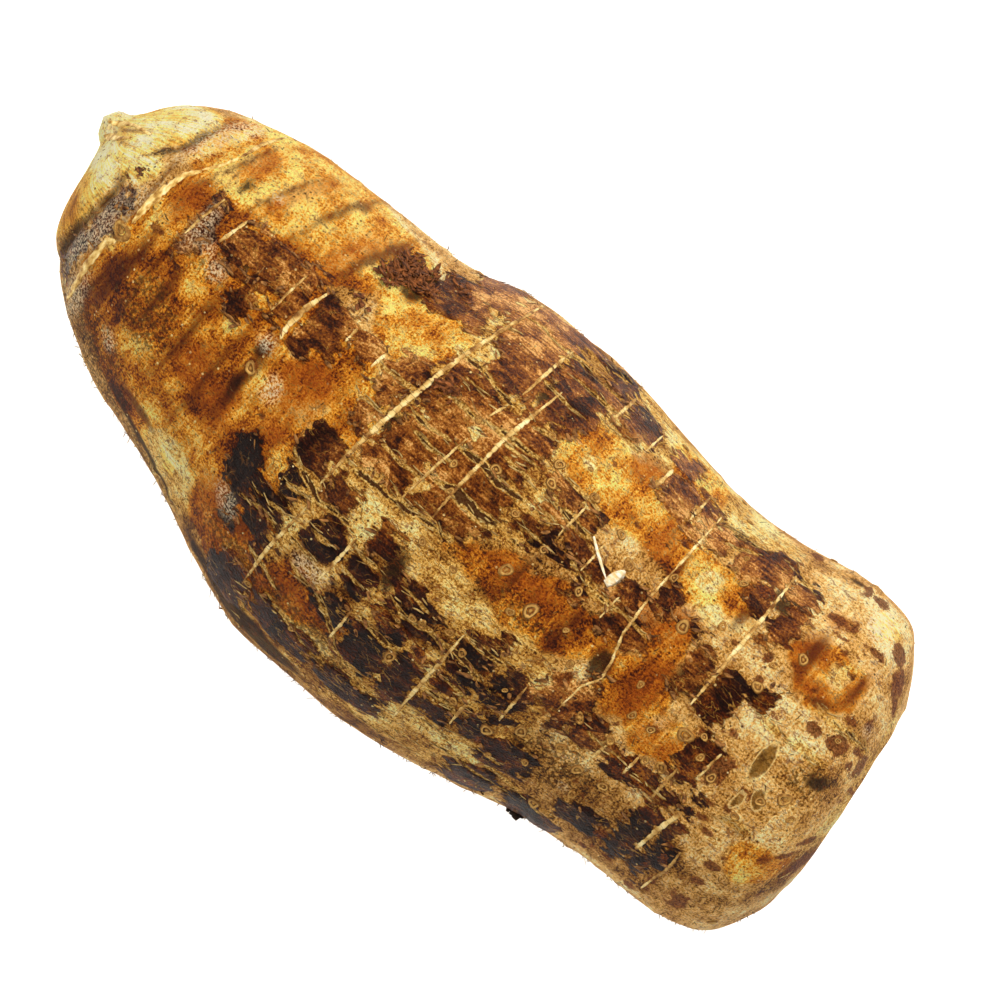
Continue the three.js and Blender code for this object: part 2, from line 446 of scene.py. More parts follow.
# Rusty glow in the amber.
RUST = [
    (56, -16, 5, 5), (63.5, -17.5, 2.5, 4), (69, -20, 2, 6), (183, -3, 4, 9), (206.5, 29, 3.6, 6),
    (212, 23.5, 6, 2.6), (219, 30, 2.2, 5), (146, -2, 10, 3), (86, -39, 12, 5, -12), (79, -3, 7, 7),
    (176, 13, 8, 6), (48, 29, 2.4, 8, -18), (36.5, 29, 2.2, 5, -10), (104, -3, 8, 3), (30, 12, 3, 6),
    (191, -8, 3, 4), (150, 36, 4, 3), (164, 27, 3, 5), (206, 39.5, 2.4, 1.6), (109, -41, 7, 3),
    (170, 12, 4, 5), (197, -8, 3, 4), (66, 26, 3, 9, -14), (80, -14, 3, 3), (96, -43, 5, 3),
]
# Soft dark bands across the amber, stained where the leaf bases sat.
BANDS = [
    (206.6, 29, 1.6, 6), (215, 22.4, 3, 1.0, 10), (219.4, 30, 1.0, 4), (60.3, 37.4, 1.8, 1.3),
    (21.3, 5, 0.5, 14), (8, 14.4, 3.4, 0.5, 20), (6, 11.2, 3, 0.4, 30), (29, -10, 1.6, 11),
    (40, -10, 1.0, 9), (50.3, -11, 1.0, 11), (60.2, -14, 0.6, 12), (66.8, -10, 1.3, 12),
    (34.2, -2, 0.4, 18), (58.5, 32, 1.0, 9, -16), (71, 30, 1.6, 9, -14), (45, 27, 0.7, 8, -18),
    (160, -4, 1.0, 5), (143.5, -3, 1.0, 6), (171, 22, 1.0, 5), (33, 25, 0.7, 9, -14), (189, 26, 1.2, 4),
    (53, -32, 6, 1.0, -8), (26.5, -14, 1.0, 7),
]
# Creases at the foot of the crown, which sink and are painted dark as shade, and other places stained dark:
# dead buds, wet marks.
CREASES = [(14.6, 0, 0.9, 5, 2), (14.2, -11, 1.1, 8, 2), (21.6, 24, 0.9, 6, -14)]
STAINS_AND_CREASE_SHADE = CREASES + [
    (18.3, 16.6, 0.7, 3.4, -48), (49, 11, 3.5, 3), (37.7, 23, 0.9, 2.2), (171.6, -5, 2.6, 4.2, 12),
    (122.2, -20.5, 2.2, 5.0, 8), (196, 5.6, 6, 3.0, -8), (189, 6, 3, 3.4), (195, 35, 4, 3),
    (123, 33, 4, 4), (84, 35, 7, 1.2, 18), (82, 30, 3, 2, 30), (95, 38, 2.4, 1.2, 30),
    (104, 18.5, 3.4, 2.2), (103, 5, 5, 3.2), (113, 8, 2.6, 3), (65.8, -3, 1.2, 2.2),
    (66.3, -12, 1.0, 3), (101, -52, 20, 1.4), (30, -30.6, 12, 0.6, -24), (176, 39, 4.4, 1.0, 4),
    (204, 49, 2, 0.4), (227, 8.6, 2, 1.6), (78, 33, 2.2, 3), (60, -38, 14, 0.5, -14),
]
# Olive-black mould in loose specks.
MOULD = [
    (40, -14, 9, 8), (38, -29, 14, 5, -20), (20, -22, 8, 4, -30), (103, 6, 6, 4), (114, 8, 4, 4),
    (122, -20, 3, 7, 8), (105, -45, 30, 5), (226, 8, 6, 4), (58, -40, 22, 3, -15), (214.5, 4, 3, 6),
    (178, -28, 12, 6), (44, 3, 4, 3), (150, -8, 8, 3),
]
# Whitish scurf: dried mould and cork dust in loose specks over bark and amber alike.
SCURF = [
    (26, 26.5, 3.4, 8.5, -16), (17.8, -8, 2.6, 12), (36.5, -25, 2.4, 2.0), (73, -8, 3, 3),
    (40.2, 7, 1.6, 2.4, 20), (45.5, 4, 3, 2.6), (24, -22, 3, 5), (82, -34, 4, 2.4, -15),
    (108, -33, 5, 2.4), (66, -1, 2, 2), (45, 26, 1.4, 1), (20.5, 3, 1, 4), (36.5, 9, 2, 5),
    (215, 45, 4, 3), (228, 25, 1, 1), (184, -31, 1, 0.6, 20),
]
# Round and oval brown marks: dead buds, healed cuts and insect marks.
SPOTS = [
    (28.6, 2.4, 2.0, 1.1, 8), (236.8, -8.8, 1.6, 3.4), (234.6, -3, 1.4, 1.2), (208, -5, 2.4, 4.4),
    (224.4, 18, 2.8, 2.6, 20), (218, 16.8, 2.0, 1.7), (223.4, 24, 1.7, 1.1), (226, 38, 2.2, 2.4),
    (205.6, 40, 2.4, 1.2), (207.6, 49, 1.5, 1.0), (212, 49.4, 2.2, 0.9), (222, -33.4, 2.2, 2.2),
    (211.8, -38.2, 1.6, 0.8), (197.6, -38.6, 1.2, 0.7), (198, -33.6, 1.8, 1.2), (232, 17.4, 1.2, 3.0),
    (229.6, 19.8, 1.6, 0.9), (216, -17, 1.8, 0.9, 10), (203, -36.6, 1.6, 0.5), (217.6, 39.8, 2.8, 0.9),
    (222.4, 43.4, 2.6, 1.6), (193.4, 47.6, 1.6, 0.9), (229, 33.6, 1.6, 0.8, -50), (233, -8.6, 1.8, 0.9),
    (222, -22, 2.2, 1.2, 10), (222, -27, 2.0, 1.1), (66.4, -7, 1.5, 1.9), (186.6, 42.4, 1.2, 0.7),
    (165.4, 33, 1.2, 0.8), (157, 24.6, 0.8, 0.6), (138, 35, 1.4, 0.5), (143.4, 31.4, 0.9, 0.7),
    (163.6, 41, 2.2, 0.9), (209, 37, 2.2, 0.7), (209.6, 14, 1.2, 0.9), (167.4, -12.4, 1.4, 1.5),
    (212, -11.4, 1.2, 0.8), (213, -15, 1.8, 0.7), (205, 24.6, 1.2, 1.0), (189.6, 33, 2.4, 1.4),
    (162.6, -36.4, 1.2, 1.0), (56.4, 24.2, 1.0, 0.5), (75.6, -13.4, 0.8, 0.9),
]
# Olive-brown scabs with a pale rim.
OLIVE = [
    (214.5, 3.6, 2.3, 5.4, 6), (215.2, -7, 0.8, 1.8), (219.4, -4, 1.4, 2.0, 10),
]

# Lengthways splits in the bark, each a width and a line.
SPLITS = [
    (1.9, [(97.5, 27.6), (101, 26.6), (106, 27.6), (112, 26.6), (118, 26)]),
    (1.2, [(101, 38.8), (106, 38.6)]), (1.7, [(105, 18.2), (112, 17.8), (119, 19.6), (131, 21)]),
    (1.0, [(113, 19), (124, 18.4), (131, 19.2)]), (1.3, [(122.6, 25.6), (130, 26.4)]),
    (2.2, [(114, 10.4), (120, 11.6), (127, 10.4), (134.5, 11.6)]),
    (1.2, [(98, 10.4), (105, 9.4), (112, 10.4)]), (1.4, [(104, 7), (110, 6.3), (116, 7.2)]),
    (2.8, [(114.6, 1), (120, 2.6), (127, 2.4), (135, 4.2)]),
    (1.3, [(120, 1.4), (127, 0.8), (134, 2.2)]),
    (1.8, [(96.5, -8), (104, -9), (112, -8), (120, -7), (128, -5.8)]),
    (1.1, [(100, 0.3), (107, -0.6), (113, 0.2)]), (1.4, [(109, -5), (114, -6.8), (121, -6)]),
    (1.7, [(86, -14), (92, -17), (99, -19.6), (106, -19.2), (111, -19.6)]),
    (1.5, [(110, -20.6), (114, -22.6), (120, -22.4)]),
    (1.6, [(124, -24.8), (130, -26.4), (137, -25), (144, -26.2)]),
    (1.5, [(121, -31.8), (126, -34), (131, -33.4), (137, -34.6)]),
    (1.6, [(110, -33.5), (117, -38), (124, -43), (137, -45)]),
    (1.3, [(98, -30.3), (104, -30.6), (111, -31)]), (1.5, [(144, -20), (151, -20), (156, -18.6)]),
    (1.8, [(140, -25), (148, -24.6), (154, -26)]), (1.4, [(145, -30.8), (152, -30.8), (156, -31.4)]),
    (1.7, [(145, -35.6), (150, -35), (155, -35)]), (1.3, [(143, -41), (150, -41.4), (157, -40.6)]),
    (1.8, [(136, 15.6), (145, 15.6), (152, 15.8)]),
    (1.3, [(150, 8), (160, 7.2), (168, 7.4), (176, 7.2)]), (1.1, [(136, 22), (142, 21.8), (149, 21)]),
    (1.4, [(117.5, 44.6), (125, 43.4), (134, 44.6)]), (1.4, [(122.5, 40.6), (130, 40.4), (137, 40.8)]),
    (1.2, [(118, 35), (127, 34.4), (132, 34.6)]), (1.2, [(134, 37.6), (141, 38), (147, 37.4)]),
    (1.3, [(126, 47.4), (135, 48.4)]), (1.2, [(104, 43), (110, 44.4), (117, 43.6)]),
    (1.8, [(171, 38.4), (176, 39.2), (182, 39.6)]), (1.3, [(174, 35.4), (178, 36.6), (183, 38.6)]),
    (1.0, [(188, 41.6), (193, 41.2), (199, 40.4)]), (0.9, [(214, 22), (220, 21.2), (228, 21.6)]),
    (1.2, [(221, 21), (225, 21.9), (232, 21.4)]), (1.2, [(152, -44), (163, -43), (176, -41)]),
    (1.0, [(140, -48), (152, -47), (163, -45.5)]), (1.0, [(103, -44), (113, -46), (123, -47)]),
    (1.2, [(128, -51), (142, -50.6), (156, -48.5)]), (1.0, [(165, -40.4), (176, -39), (186, -39.4)]),
    (1.4, [(84, -30.4), (91, -30.2), (97, -30.8)]), (1.0, [(88, -21), (92, -21.6), (96, -20.6)]),
    (1.0, [(85, -27.4), (91, -27.8), (96, -27)]), (0.8, [(88, 4.6), (93, 5), (97.5, 5)]),
    (1.0, [(88, 13.2), (93, 13.4), (99, 13)]), (1.0, [(104, 23.2), (110, 23.8), (114, 23)]),
    (1.0, [(123, 16), (129, 16.4), (134, 15.4)]), (0.9, [(137, 12.8), (144, 12.6)]),
    (0.9, [(137, 6.8), (144, 7)]), (1.0, [(101, -25.2), (106, -25.6), (110, -24.8)]),
    (1.2, [(112, -27.4), (117, -28), (121, -27.2)]), (0.9, [(125, -21.6), (131, -21.2), (137, -22)]),
    (0.8, [(225, 12), (222, 11.6), (218, 12.4), (215, 11)]), (0.7, [(205, 12), (209, 11), (213, 11.4)]),
    (0.7, [(216, -12), (220, -11.2), (223, -11.6)]), (1.1, [(103, -34.6), (108, -36.6), (113, -35.6)]),
    (1.0, [(92, -38), (98, -39.4), (104, -42)]), (1.2, [(99, -46), (101, -50), (103.5, -55)]),
    (0.9, [(156, -38.4), (163, -38), (171, -37.4)]),
    (0.8, [(228, 40), (232.6, 27), (235.2, 12), (236.2, -4), (235.6, -18)]),
    (0.8, [(179, -17.6), (184, -18), (190, -17.2)]), (0.8, [(192, -18), (199, -18.4), (205, -17.8)]),
]
# Rings of old leaf scars: where each crosses the back, and how it bows towards the crown there.
RINGS = np.array([23, 33, 43, 52, 61, 67, 79, 88, 98, 112, 121, 130, 144, 154, 163, 170, 182, 192,
                  201, 207, 218, 228], float)


def ring_phase(x, round_):
    """Counts the leaf-scar rings passed on the way from the bud: interpolated between them,
    with each ring bowed by up to a few millimetres round the corm."""
    bow = 2.4 * np.sin(2 * round_ + 0.8) + 1.6 * np.sin(3 * round_ + x / 45)
    return np.interp(x + bow - 1.0, RINGS, np.arange(len(RINGS)), left=-1.0, right=len(RINGS))


split_depth = near(SPLITS)
plate_depth = np.minimum(inside(PLATES, power=5.0, ragged=0.7), -inside(BARE, ragged=0.8))
RING_SPACING = 10.0  # millimetres between leaf scars, about
phase = ring_phase(smooth[..., 0], round_)
ring_gap = np.abs(phase - np.round(phase)) * RING_SPACING
on_flank = soft(smooth[..., 0] - 22, 12) * soft(232 - smooth[..., 0], 12)
# The cut face, 0 to 1: it sets in just inside the rim and holds to the middle.
cut = soft(0.955 - reach, 0.16) * (share > 0.99)
# Relief in millimetres: slow swells, lumps and small lumps, plates standing proud, and a rise at
# each ring. It fades on the cut face and at the bud.
relief = (
    0.6 * lumps(smooth, 17.0, 3)
    + 0.25 * lumps(smooth, 7.0, 4)
    + 0.1 * lumps(smooth, 3.1, 5)
    + 0.45 * soft(np.minimum(plate_depth, -split_depth), 1.2) * on_flank
    + 0.5 * np.exp(-(ring_gap / 1.1) ** 2) * on_flank * np.maximum(lumps(smooth, 14.0, 6) + 0.2, 0)
) * (1 - 0.75 * cut) * soft(smooth[..., 0] - 3, 8)
relief -= 0.9 * soft(inside(CREASES, ragged=0.3), 1.5)
skin_points = smooth + smooth_normal * relief[..., None]
skin_points[0] = skin_points[0].mean(0)
skin_points[-1] = skin_points[-1].mean(0)
skin_normal = outward(skin_points)
skin_normal[-3:] = skin_normal[-4, 0]


def grid_faces(rows, columns, start=0):
    """Quads of a grid that wraps round its second axis, numbered from start."""
    i, j = np.meshgrid(np.arange(rows - 1), np.arange(columns), indexing="ij")
    k = (j + 1) % columns
    corners = [i * columns + j, i * columns + k, (i + 1) * columns + k, (i + 1) * columns + j]
    return np.stack(corners, -1).reshape(-1, 4) + start


def closed_faces(rows, columns, start=0, flip=False):
    """Faces of a grid that wraps round its second axis, with its first and last rows capped. Flip
    turns every face over, for a grid that runs the other way round."""
    first = start + np.arange(columns)
    last = first + (rows - 1) * columns
    faces = [*grid_faces(rows, columns, start).tolist(), first[::-1].tolist(), last.tolist()]
    return [face[::-1] for face in faces] if flip else faces


def piece(name, points, faces, material, attributes=None, map_points=None):
    """A smooth-shaded mesh object at the origin from points in metres and faces, which rides on
    the root body. Attributes are numbers per point; map_points is a UV place per point."""
    mesh = bpy.data.meshes.new(name)
    mesh.from_pydata(points.reshape(-1, 3), [], [list(f) for f in faces])
    for label, values in (attributes or {}).items():
        many = np.ndim(values) == 2
        layer = mesh.attributes.new(label, "FLOAT_VECTOR" if many else "FLOAT", "POINT")
        layer.data.foreach_set("vector" if many else "value", np.asarray(values, np.float32).ravel())
    if map_points is not None:
        corner = np.zeros(len(mesh.loops), int)
        mesh.loops.foreach_get("vertex_index", corner)
        layer = mesh.uv_layers.new(name="lengthwise")
        layer.data.foreach_set("uv", map_points[corner].astype(np.float32).ravel())
    mesh.shade_smooth()
    mesh.materials.append(material)
    made = bpy.data.objects.new(name, mesh)
    bpy.context.scene.collection.objects.link(made)
    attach(made, "root")
    return made


# Corky taro skin: a thin dry bark over cork, sun-dried to amber, straw and beige, satin where
# the brown plates still hold and dull where they have flaked. Patterns are in real millimetres.
skin_material, tree, shader = blank("corky taro skin")
MM = (1000, 1000, 1000)  # millimetres in a metre, on each axis
place = add(tree, "TexCoord", out="Object")
mm = add(tree, "Mapping", {"Vector": place, "Scale": MM})
# Fibres run with the corm, about eight times longer than wide, and torn bark about twice.
lengthways = add(tree, "Mapping", {"Vector": place, "Scale": (120, 1000, 1000)})
torn = add(tree, "Mapping", {"Vector": place, "Scale": (420, 1000, 1000)})
blotch = add(tree, "TexNoise", {"Vector": mm, "Scale": 1 / 9, "Detail": 2, "Roughness": 0.55})
mottle = add(tree, "TexNoise", {"Vector": mm, "Scale": 1 / 2.6, "Detail": 6, "Roughness": 0.7})
grain = add(tree, "TexNoise", {"Vector": mm, "Scale": 1 / 0.55, "Detail": 2, "Roughness": 0.6})
fibre = add(tree, "TexNoise", {"Vector": lengthways, "Scale": 1 / 0.9, "Detail": 3,
                               "Roughness": 0.6})
tear = add(tree, "TexNoise", {"Vector": torn, "Scale": 1 / 2.4, "Detail": 3, "Roughness": 0.5})
amounts = {label: add(tree, "Attribute", attribute_name=label, out="Fac") for label in (
    "plate", "reddish", "amber", "fair", "deep", "cream", "straw", "rust", "band", "stain_and_crease_shade", "mould",
    "scurf", "spot", "olive", "split", "cut")}


def blend(parts, low, high):
    """Noises weighted and summed, and the sum stretched so that low becomes 0 and high 1."""
    total = 0.0
    for part, weight in parts:
        total = add(tree, "Math", {0: part, 1: weight, 2: total}, operation="MULTIPLY_ADD")
    return add(tree, "MapRange", {0: total, 1: low, 2: high}, clamp=False)


# Ragged edges: drawn outlines wander by about a millimetre, and torn bark by more, lengthways.
wander = blend([(mottle, 0.7), (grain, 0.3)], 0.5, 0.62)
ragged = blend([(tear, 1.0), (grain, 0.2)], 0.6, 0.71)

# Four grounds, each an uneven shade of its own through a ramp of its own colours: beige cork by
# the base, straw where bark has torn off, sun-dried amber, and the cream sheath of the crown.
# Leaf scars leave fine lines across the amber, and the crown's sheath is striped towards the bud.
crosswise = add(tree, "Mapping", {"Vector": place, "Scale": (1000, 150, 150)})
line = add(tree, "TexNoise", {"Vector": crosswise, "Scale": 1 / 0.9, "Detail": 3, "Roughness": 0.6})
fan = add(tree, "Attribute", attribute_name="fan", out="Vector")
stripe = add(tree, "TexNoise", {"Vector": fan, "Scale": 1 / 0.45, "Detail": 2, "Roughness": 0.5})
GROUNDS = (
    ("beige", [(blotch, 0.34), (mottle, 0.36), (grain, 0.52), (line, 0.20)], 0.53, 0.82, [
        (0.0, "#4a2c0e"), (0.25, "#946c32"), (0.5, "#c79f5e"), (0.75, "#dfc086"), (1.0, "#f5e6bc")]),
    ("straw", [(blotch, 0.36), (mottle, 0.42), (grain, 0.40), (fibre, 0.20)], 0.55, 0.79, [
        (0.0, "#462607"), (0.25, "#91672c"), (0.5, "#c49d56"), (0.75, "#dfc27e"), (1.0, "#f5e5b0")]),
    ("amber", [(blotch, 0.44), (mottle, 0.30), (grain, 0.46), (line, 0.20)], 0.54, 0.805, [
        (0.0, "#431c03"), (0.25, "#84480b"), (0.5, "#bb7b22"), (0.75, "#dba846"), (1.0, "#f4da8e")]),
    ("cream", [(blotch, 0.36), (stripe, 0.26), (grain, 0.16)], 0.22, 0.49, [
        (0.0, "#8a5718"), (0.25, "#bf8932"), (0.5, "#dfb45a"), (0.75, "#f2d486"), (1.0, "#fff2c8")]),
)
for name, parts, darkest, palest, stops in GROUNDS:
    shade = blend(parts, darkest, palest)
    # Fair lightens each ground and deep darkens it; fair is partly a painted sheen along the upper and lower
    # edges.
    for label, weight in (("fair", 0.24), ("deep", -0.26)):
        shade = add(tree, "Math", {0: amounts[label], 1: weight, 2: shade}, operation="MULTIPLY_ADD")
    ground = add(tree, "ValToRGB", {"Fac": shade}, stops=stops)
    if name == "beige":
        colour = ground
        continue
    edge = add(tree, "Math", {0: wander, 1: 0.3, 2: amounts[name]}, operation="MULTIPLY_ADD")
    edge = add(tree, "MapRange", {0: edge, 1: 0.36, 2: 0.64})
    colour = add(tree, "MixRGB", {0: edge, 1: colour, 2: ground})

# What is laid over the ground, from the bottom up, marks and painted shade alike: each layer an amount from 0
# to 1 and its colour.
# Torn fibres: the lines where a stretched noise crosses its middle, thin, wavy and lens-shaped.
strand = add(tree, "Math", {0: tear, 1: 0.5, 2: 0.011}, operation="COMPARE")
frayed = add(tree, "Math", {0: amounts["straw"], 1: 0.4, 2: 0.25}, operation="MULTIPLY_ADD")
strand = add(tree, "Math", {0: strand, 1: frayed}, operation="MULTIPLY")
# Mould: olive-black specks about a millimetre across, thick only where the amount is high.
speck = add(tree, "TexNoise", {"Vector": mm, "Scale": 1 / 0.9, "Detail": 2, "Roughness": 0.5})
speck = add(tree, "Math", {0: amounts["mould"], 1: 0.2, 2: speck}, operation="MULTIPLY_ADD")
speck = add(tree, "MapRange", {0: speck, 1: 0.66, 2: 0.76, 3: 0.0, 4: 0.6})
layers = [(strand, "#7a3f0a")]
# Stains and glows: each a colour laid on as far as its amount goes, in patches the grain breaks. The darkest
# wash also paints shade into the creases at the foot of the crown.
patchy = blend([(mottle, 1.0), (grain, 1.0)], 0.85, 1.15)
STAINING = (("rust", "#a8601a", 0.5, 0.5), ("band", "#552406", 0.72, 0.35), ("stain_and_crease_shade", "#241108", 0.85, 0.5))
for name, wash, strength, broken in STAINING:
    part = add(tree, "Math", {0: patchy, 1: broken, 2: amounts[name]}, operation="MULTIPLY_ADD")
    part = add(tree, "MapRange", {0: part, 1: broken * 0.7, 2: 1 + broken * 0.3, 3: 0.0, 4: strength})
    layers.append((part, wash))
layers.append((speck, "#3f2e12"))

# Crackle: the dry skin has cracked into cells a few millimetres long, in some places more openly.
bent = add(tree, "TexNoise", {"Vector": mm, "Scale": 1 / 2.0, "Detail": 2}, out="Color")
bent = add(tree, "VectorMath", {0: bent, 1: (0.0012, 0.0012, 0.0012), 2: place},
           operation="MULTIPLY_ADD")
cracked = add(tree, "Mapping", {"Vector": bent, "Scale": (1000 / 5.0, 1000 / 1.5, 1000 / 1.5)})
crack = add(tree, "TexVoronoi", {"Vector": cracked, "Scale": 1.0}, feature="DISTANCE_TO_EDGE", out="Distance")
opening = add(tree, "MapRange", {0: mottle, 1: 0.46, 2: 0.66, 3: 0.0, 4: 0.15})
crack = add(tree, "Math", {0: opening, 1: crack}, operation="SUBTRACT")
crack = add(tree, "MapRange", {0: crack, 1: 0.0, 2: 0.05})
smoother = add(tree, "Math", {0: amounts["amber"], 1: amounts["cream"]}, operation="MAXIMUM")
ground_crack = add(tree, "MapRange", {0: smoother, 3: 0.55, 4: 0.25})
ground_crack = add(tree, "Math", {0: ground_crack, 1: crack}, operation="MULTIPLY")
layers.append((ground_crack, "#7c430c"))

# The plates: satin brown bark with fine fibres, and a painted shadow on the ground just outside their torn
# outline.
plate_edge = add(tree, "Math", {0: amounts["plate"], 1: ragged}, operation="ADD")
lips = add(tree, "Math", {0: ragged, 1: -0.22, 2: amounts["split"]}, operation="MULTIPLY_ADD")
whole_bark = add(tree, "Math", {0: lips, 1: -1.0}, operation="MULTIPLY")
plate_edge = add(tree, "Math", {0: plate_edge, 1: whole_bark}, operation="MINIMUM")
plate = add(tree, "MapRange", {0: plate_edge, 1: -0.1, 2: 0.12})
# Painted shadow: a dark band on the ground just outside each plate's edge, where the raised plate would shade
# it.
outline = add(tree, "MapRange", {0: plate_edge, 1: -0.35, 2: -0.05, 3: 0.0, 4: 0.7})
layers.append((outline, "#3d1d08"))
# Each scale of bark has weathered to its own shade.
scales = add(tree, "Mapping", {"Vector": place, "Scale": (1000 / 11, 1000 / 7, 1000 / 7)})
scale_shade = add(tree, "TexVoronoi", {"Vector": scales, "Scale": 1.0, "Randomness": 0.7}, out="Color")
scale_shade = add(tree, "SeparateColor", {0: scale_shade})
bark_shade = blend([(blotch, 0.42), (mottle, 0.34), (grain, 0.34), (fibre, 0.34),
                    (scale_shade, 0.12)], 0.64, 0.90)
# On the bark, fair is partly a painted sheen on the plates along the upper and lower edges.
for label, weight in (("deep", -0.26), ("fair", 0.12)):
    bark_shade = add(tree, "Math", {0: amounts[label], 1: weight, 2: bark_shade}, operation="MULTIPLY_ADD")
bark_dark = add(tree, "ValToRGB", {"Fac": bark_shade}, stops=[
    (0.0, "#240d04"), (0.3, "#381706"), (0.6, "#54290a"), (0.85, "#7c4612"), (1.0, "#a06c2a")])
bark_red = add(tree, "ValToRGB", {"Fac": bark_shade}, stops=[
    (0.0, "#351708"), (0.3, "#663814"), (0.6, "#946029"), (0.85, "#bb8a4c"), (1.0, "#deb67c")])
bark = add(tree, "MixRGB", {0: amounts["reddish"], 1: bark_dark, 2: bark_red})
# Hairline splits in the bark show straw tissue, here and there.
hairline = add(tree, "TexNoise", {"Vector": torn, "Scale": 1 / 3.4, "Detail": 3, "Roughness": 0.5,
                                  "Distortion": 0.4})
hairline = add(tree, "Math", {0: hairline, 1: 0.5, 2: 0.007}, operation="COMPARE")
open_here = add(tree, "MapRange", {0: blotch, 1: 0.46, 2: 0.54, 3: 0.0, 4: 0.75})
hairline = add(tree, "Math", {0: hairline, 1: open_here}, operation="MULTIPLY")
bark = add(tree, "MixRGB", {0: hairline, 1: bark, 2: "#b3904f"})
bark_crack = add(tree, "Math", {0: crack, 1: 0.3}, operation="MULTIPLY")
bark = add(tree, "MixRGB", {0: bark_crack, 1: bark, 2: "#9a7238"})
layers.append((plate, bark))
# Inside a split the lips are straw, and the gap between them is painted dark as shade.
lip = add(tree, "MapRange", {0: lips, 1: -0.08, 2: 0.08, 3: 0.0, 4: 0.75})
lip_shade = add(tree, "ValToRGB", {"Fac": grain}, stops=[
    (0.34, "#8e6930"), (0.5, "#c6a25c"), (0.66, "#ecd596")])
layers.append((lip, lip_shade))
# Painted shade: the middle of each split is darkened as the sunk crack would be in shadow.
gap = add(tree, "MapRange", {0: lips, 1: 0.36, 2: 0.56, 3: 0.0, 4: 0.9})
layers.append((gap, "#4a260c"))
# Dead buds and healed spots.
spot_edge = add(tree, "Math", {0: wander, 1: 0.7, 2: amounts["spot"]}, operation="MULTIPLY_ADD")
spot = add(tree, "MapRange", {0: spot_edge, 1: -0.1, 2: 0.2, 3: 0.0, 4: 0.85})
bud_brown = add(tree, "ValToRGB", {"Fac": grain}, stops=[
    (0.3, "#391705"), (0.5, "#6e3a12"), (0.7, "#a0642a")])
layers.append((spot, bud_brown))
rim = add(tree, "Math", {0: amounts["olive"], 1: -0.25, 2: 0.16}, operation="COMPARE")
rim = add(tree, "Math", {0: rim, 1: 0.55}, operation="MULTIPLY")
layers.append((rim, "#e3d09a"))
olive = add(tree, "MapRange", {0: amounts["olive"], 1: -0.2, 2: 0.2, 3: 0.0, 4: 0.8})
dull_brown = add(tree, "ValToRGB", {"Fac": mottle}, stops=[
    (0.3, "#4c3410"), (0.5, "#7a5a20"), (0.7, "#a98542")])
layers.append((olive, dull_brown))
# Scurf: whitish specks, closer together the higher the amount.
dusty = add(tree, "MapRange", {0: grain, 1: 0.42, 2: 0.6, 3: 0.0, 4: 0.75})
dusty = add(tree, "Math", {0: dusty, 1: amounts["scurf"]}, operation="MULTIPLY")
layers.append((dusty, "#e0d4bc"))
# The cut base: pale dried flesh with the ends of its fibres as dots.
cut_face = add(tree, "ValToRGB", {"Fac": mottle}, stops=[
    (0.3, "#76532a"), (0.46, "#b08a52"), (0.62, "#d8bd88"), (0.8, "#eddcb4")])
cut_edge = add(tree, "Math", {0: wander, 1: 0.12, 2: amounts["cut"]}, operation="MULTIPLY_ADD")
cut_edge = add(tree, "MapRange", {0: cut_edge, 1: 0.4, 2: 0.7})
layers.append((cut_edge, cut_face))
# Pores, dark, and grains of pale cork and dust: dots in part of the cells of two fine meshes.
crowded = add(tree, "MapRange", {0: blotch, 1: 0.42, 2: 0.58, 3: 0.2, 4: 0.85})
dots = []
DOTS = ((1.7, 0.16, 0.5, "#4a2206"), (1.9, 0.15, 0.25, "#ecd9a4"))
for spacing, size, share_of_cells, dot_colour in DOTS:
    cells = add(tree, "TexVoronoi", {"Vector": mm, "Scale": 1 / spacing, "Randomness": 1.0}, out=None)
    dot = add(tree, "MapRange", {0: cells.outputs["Distance"], 1: size - 0.03, 2: size + 0.04,
                                 3: 1.0, 4: 0.0})
    pick = add(tree, "SeparateColor", {0: cells.outputs["Color"]})
    pick = add(tree, "Math", {0: pick, 1: share_of_cells}, operation="LESS_THAN")
    dot = add(tree, "Math", {0: dot, 1: pick}, operation="MULTIPLY")
    dots.append(dot)
    faint = add(tree, "Math", {0: dot, 1: crowded}, operation="MULTIPLY")
    layers.append((faint, dot_colour))
for amount, shade in layers:
    colour = add(tree, "MixRGB", {0: amount, 1: colour, 2: shade})
# Dry skin keeps deep tones deep: every tone is raised to a power and brightened back.
toned = add(tree, "Gamma", {0: colour, 1: 1.3})
toned = add(tree, "VectorMath", {0: toned, 1: (1.50, 1.45, 1.36)}, operation="MULTIPLY")
toned = add(tree, "VectorMath", {0: toned, 1: (0.96, 0.91, 0.82)}, operation="MINIMUM")
tree.links.new(toned, shader.inputs["Base Color"])

# Bark plates have a satin gloss, and everything between them is dull.
gloss = add(tree, "MapRange", {0: plate, 1: 0.0, 2: 1.0, 3: 0.66, 4: 0.42})
gloss = add(tree, "Math", {0: grain, 1: 0.16, 2: gloss}, operation="MULTIPLY_ADD")
tree.links.new(gloss, shader.inputs["Roughness"])
shader.inputs["Specular IOR Level"].default_value = 0.15
# Relief in millimetres: bark stands proud, pores sink, and everything is grained and fibrous.
height = 0.0
for part, weight in ((plate, 0.3), (mottle, 2.2), (grain, 1.4), (fibre, 0.9), (dots[0], -0.3),
                     (dots[1], 0.3), (strand, -0.25), (hairline, -0.15), (line, 0.7),
                     (crack, -0.2), (lip, 0.3), (gap, -0.7)):
    height = add(tree, "Math", {0: part, 1: weight, 2: height}, operation="MULTIPLY_ADD")
bump = add(tree, "Bump", {"Height": height, "Distance": 0.001, "Strength": 1.0})
tree.links.new(bump, shader.inputs["Normal"])

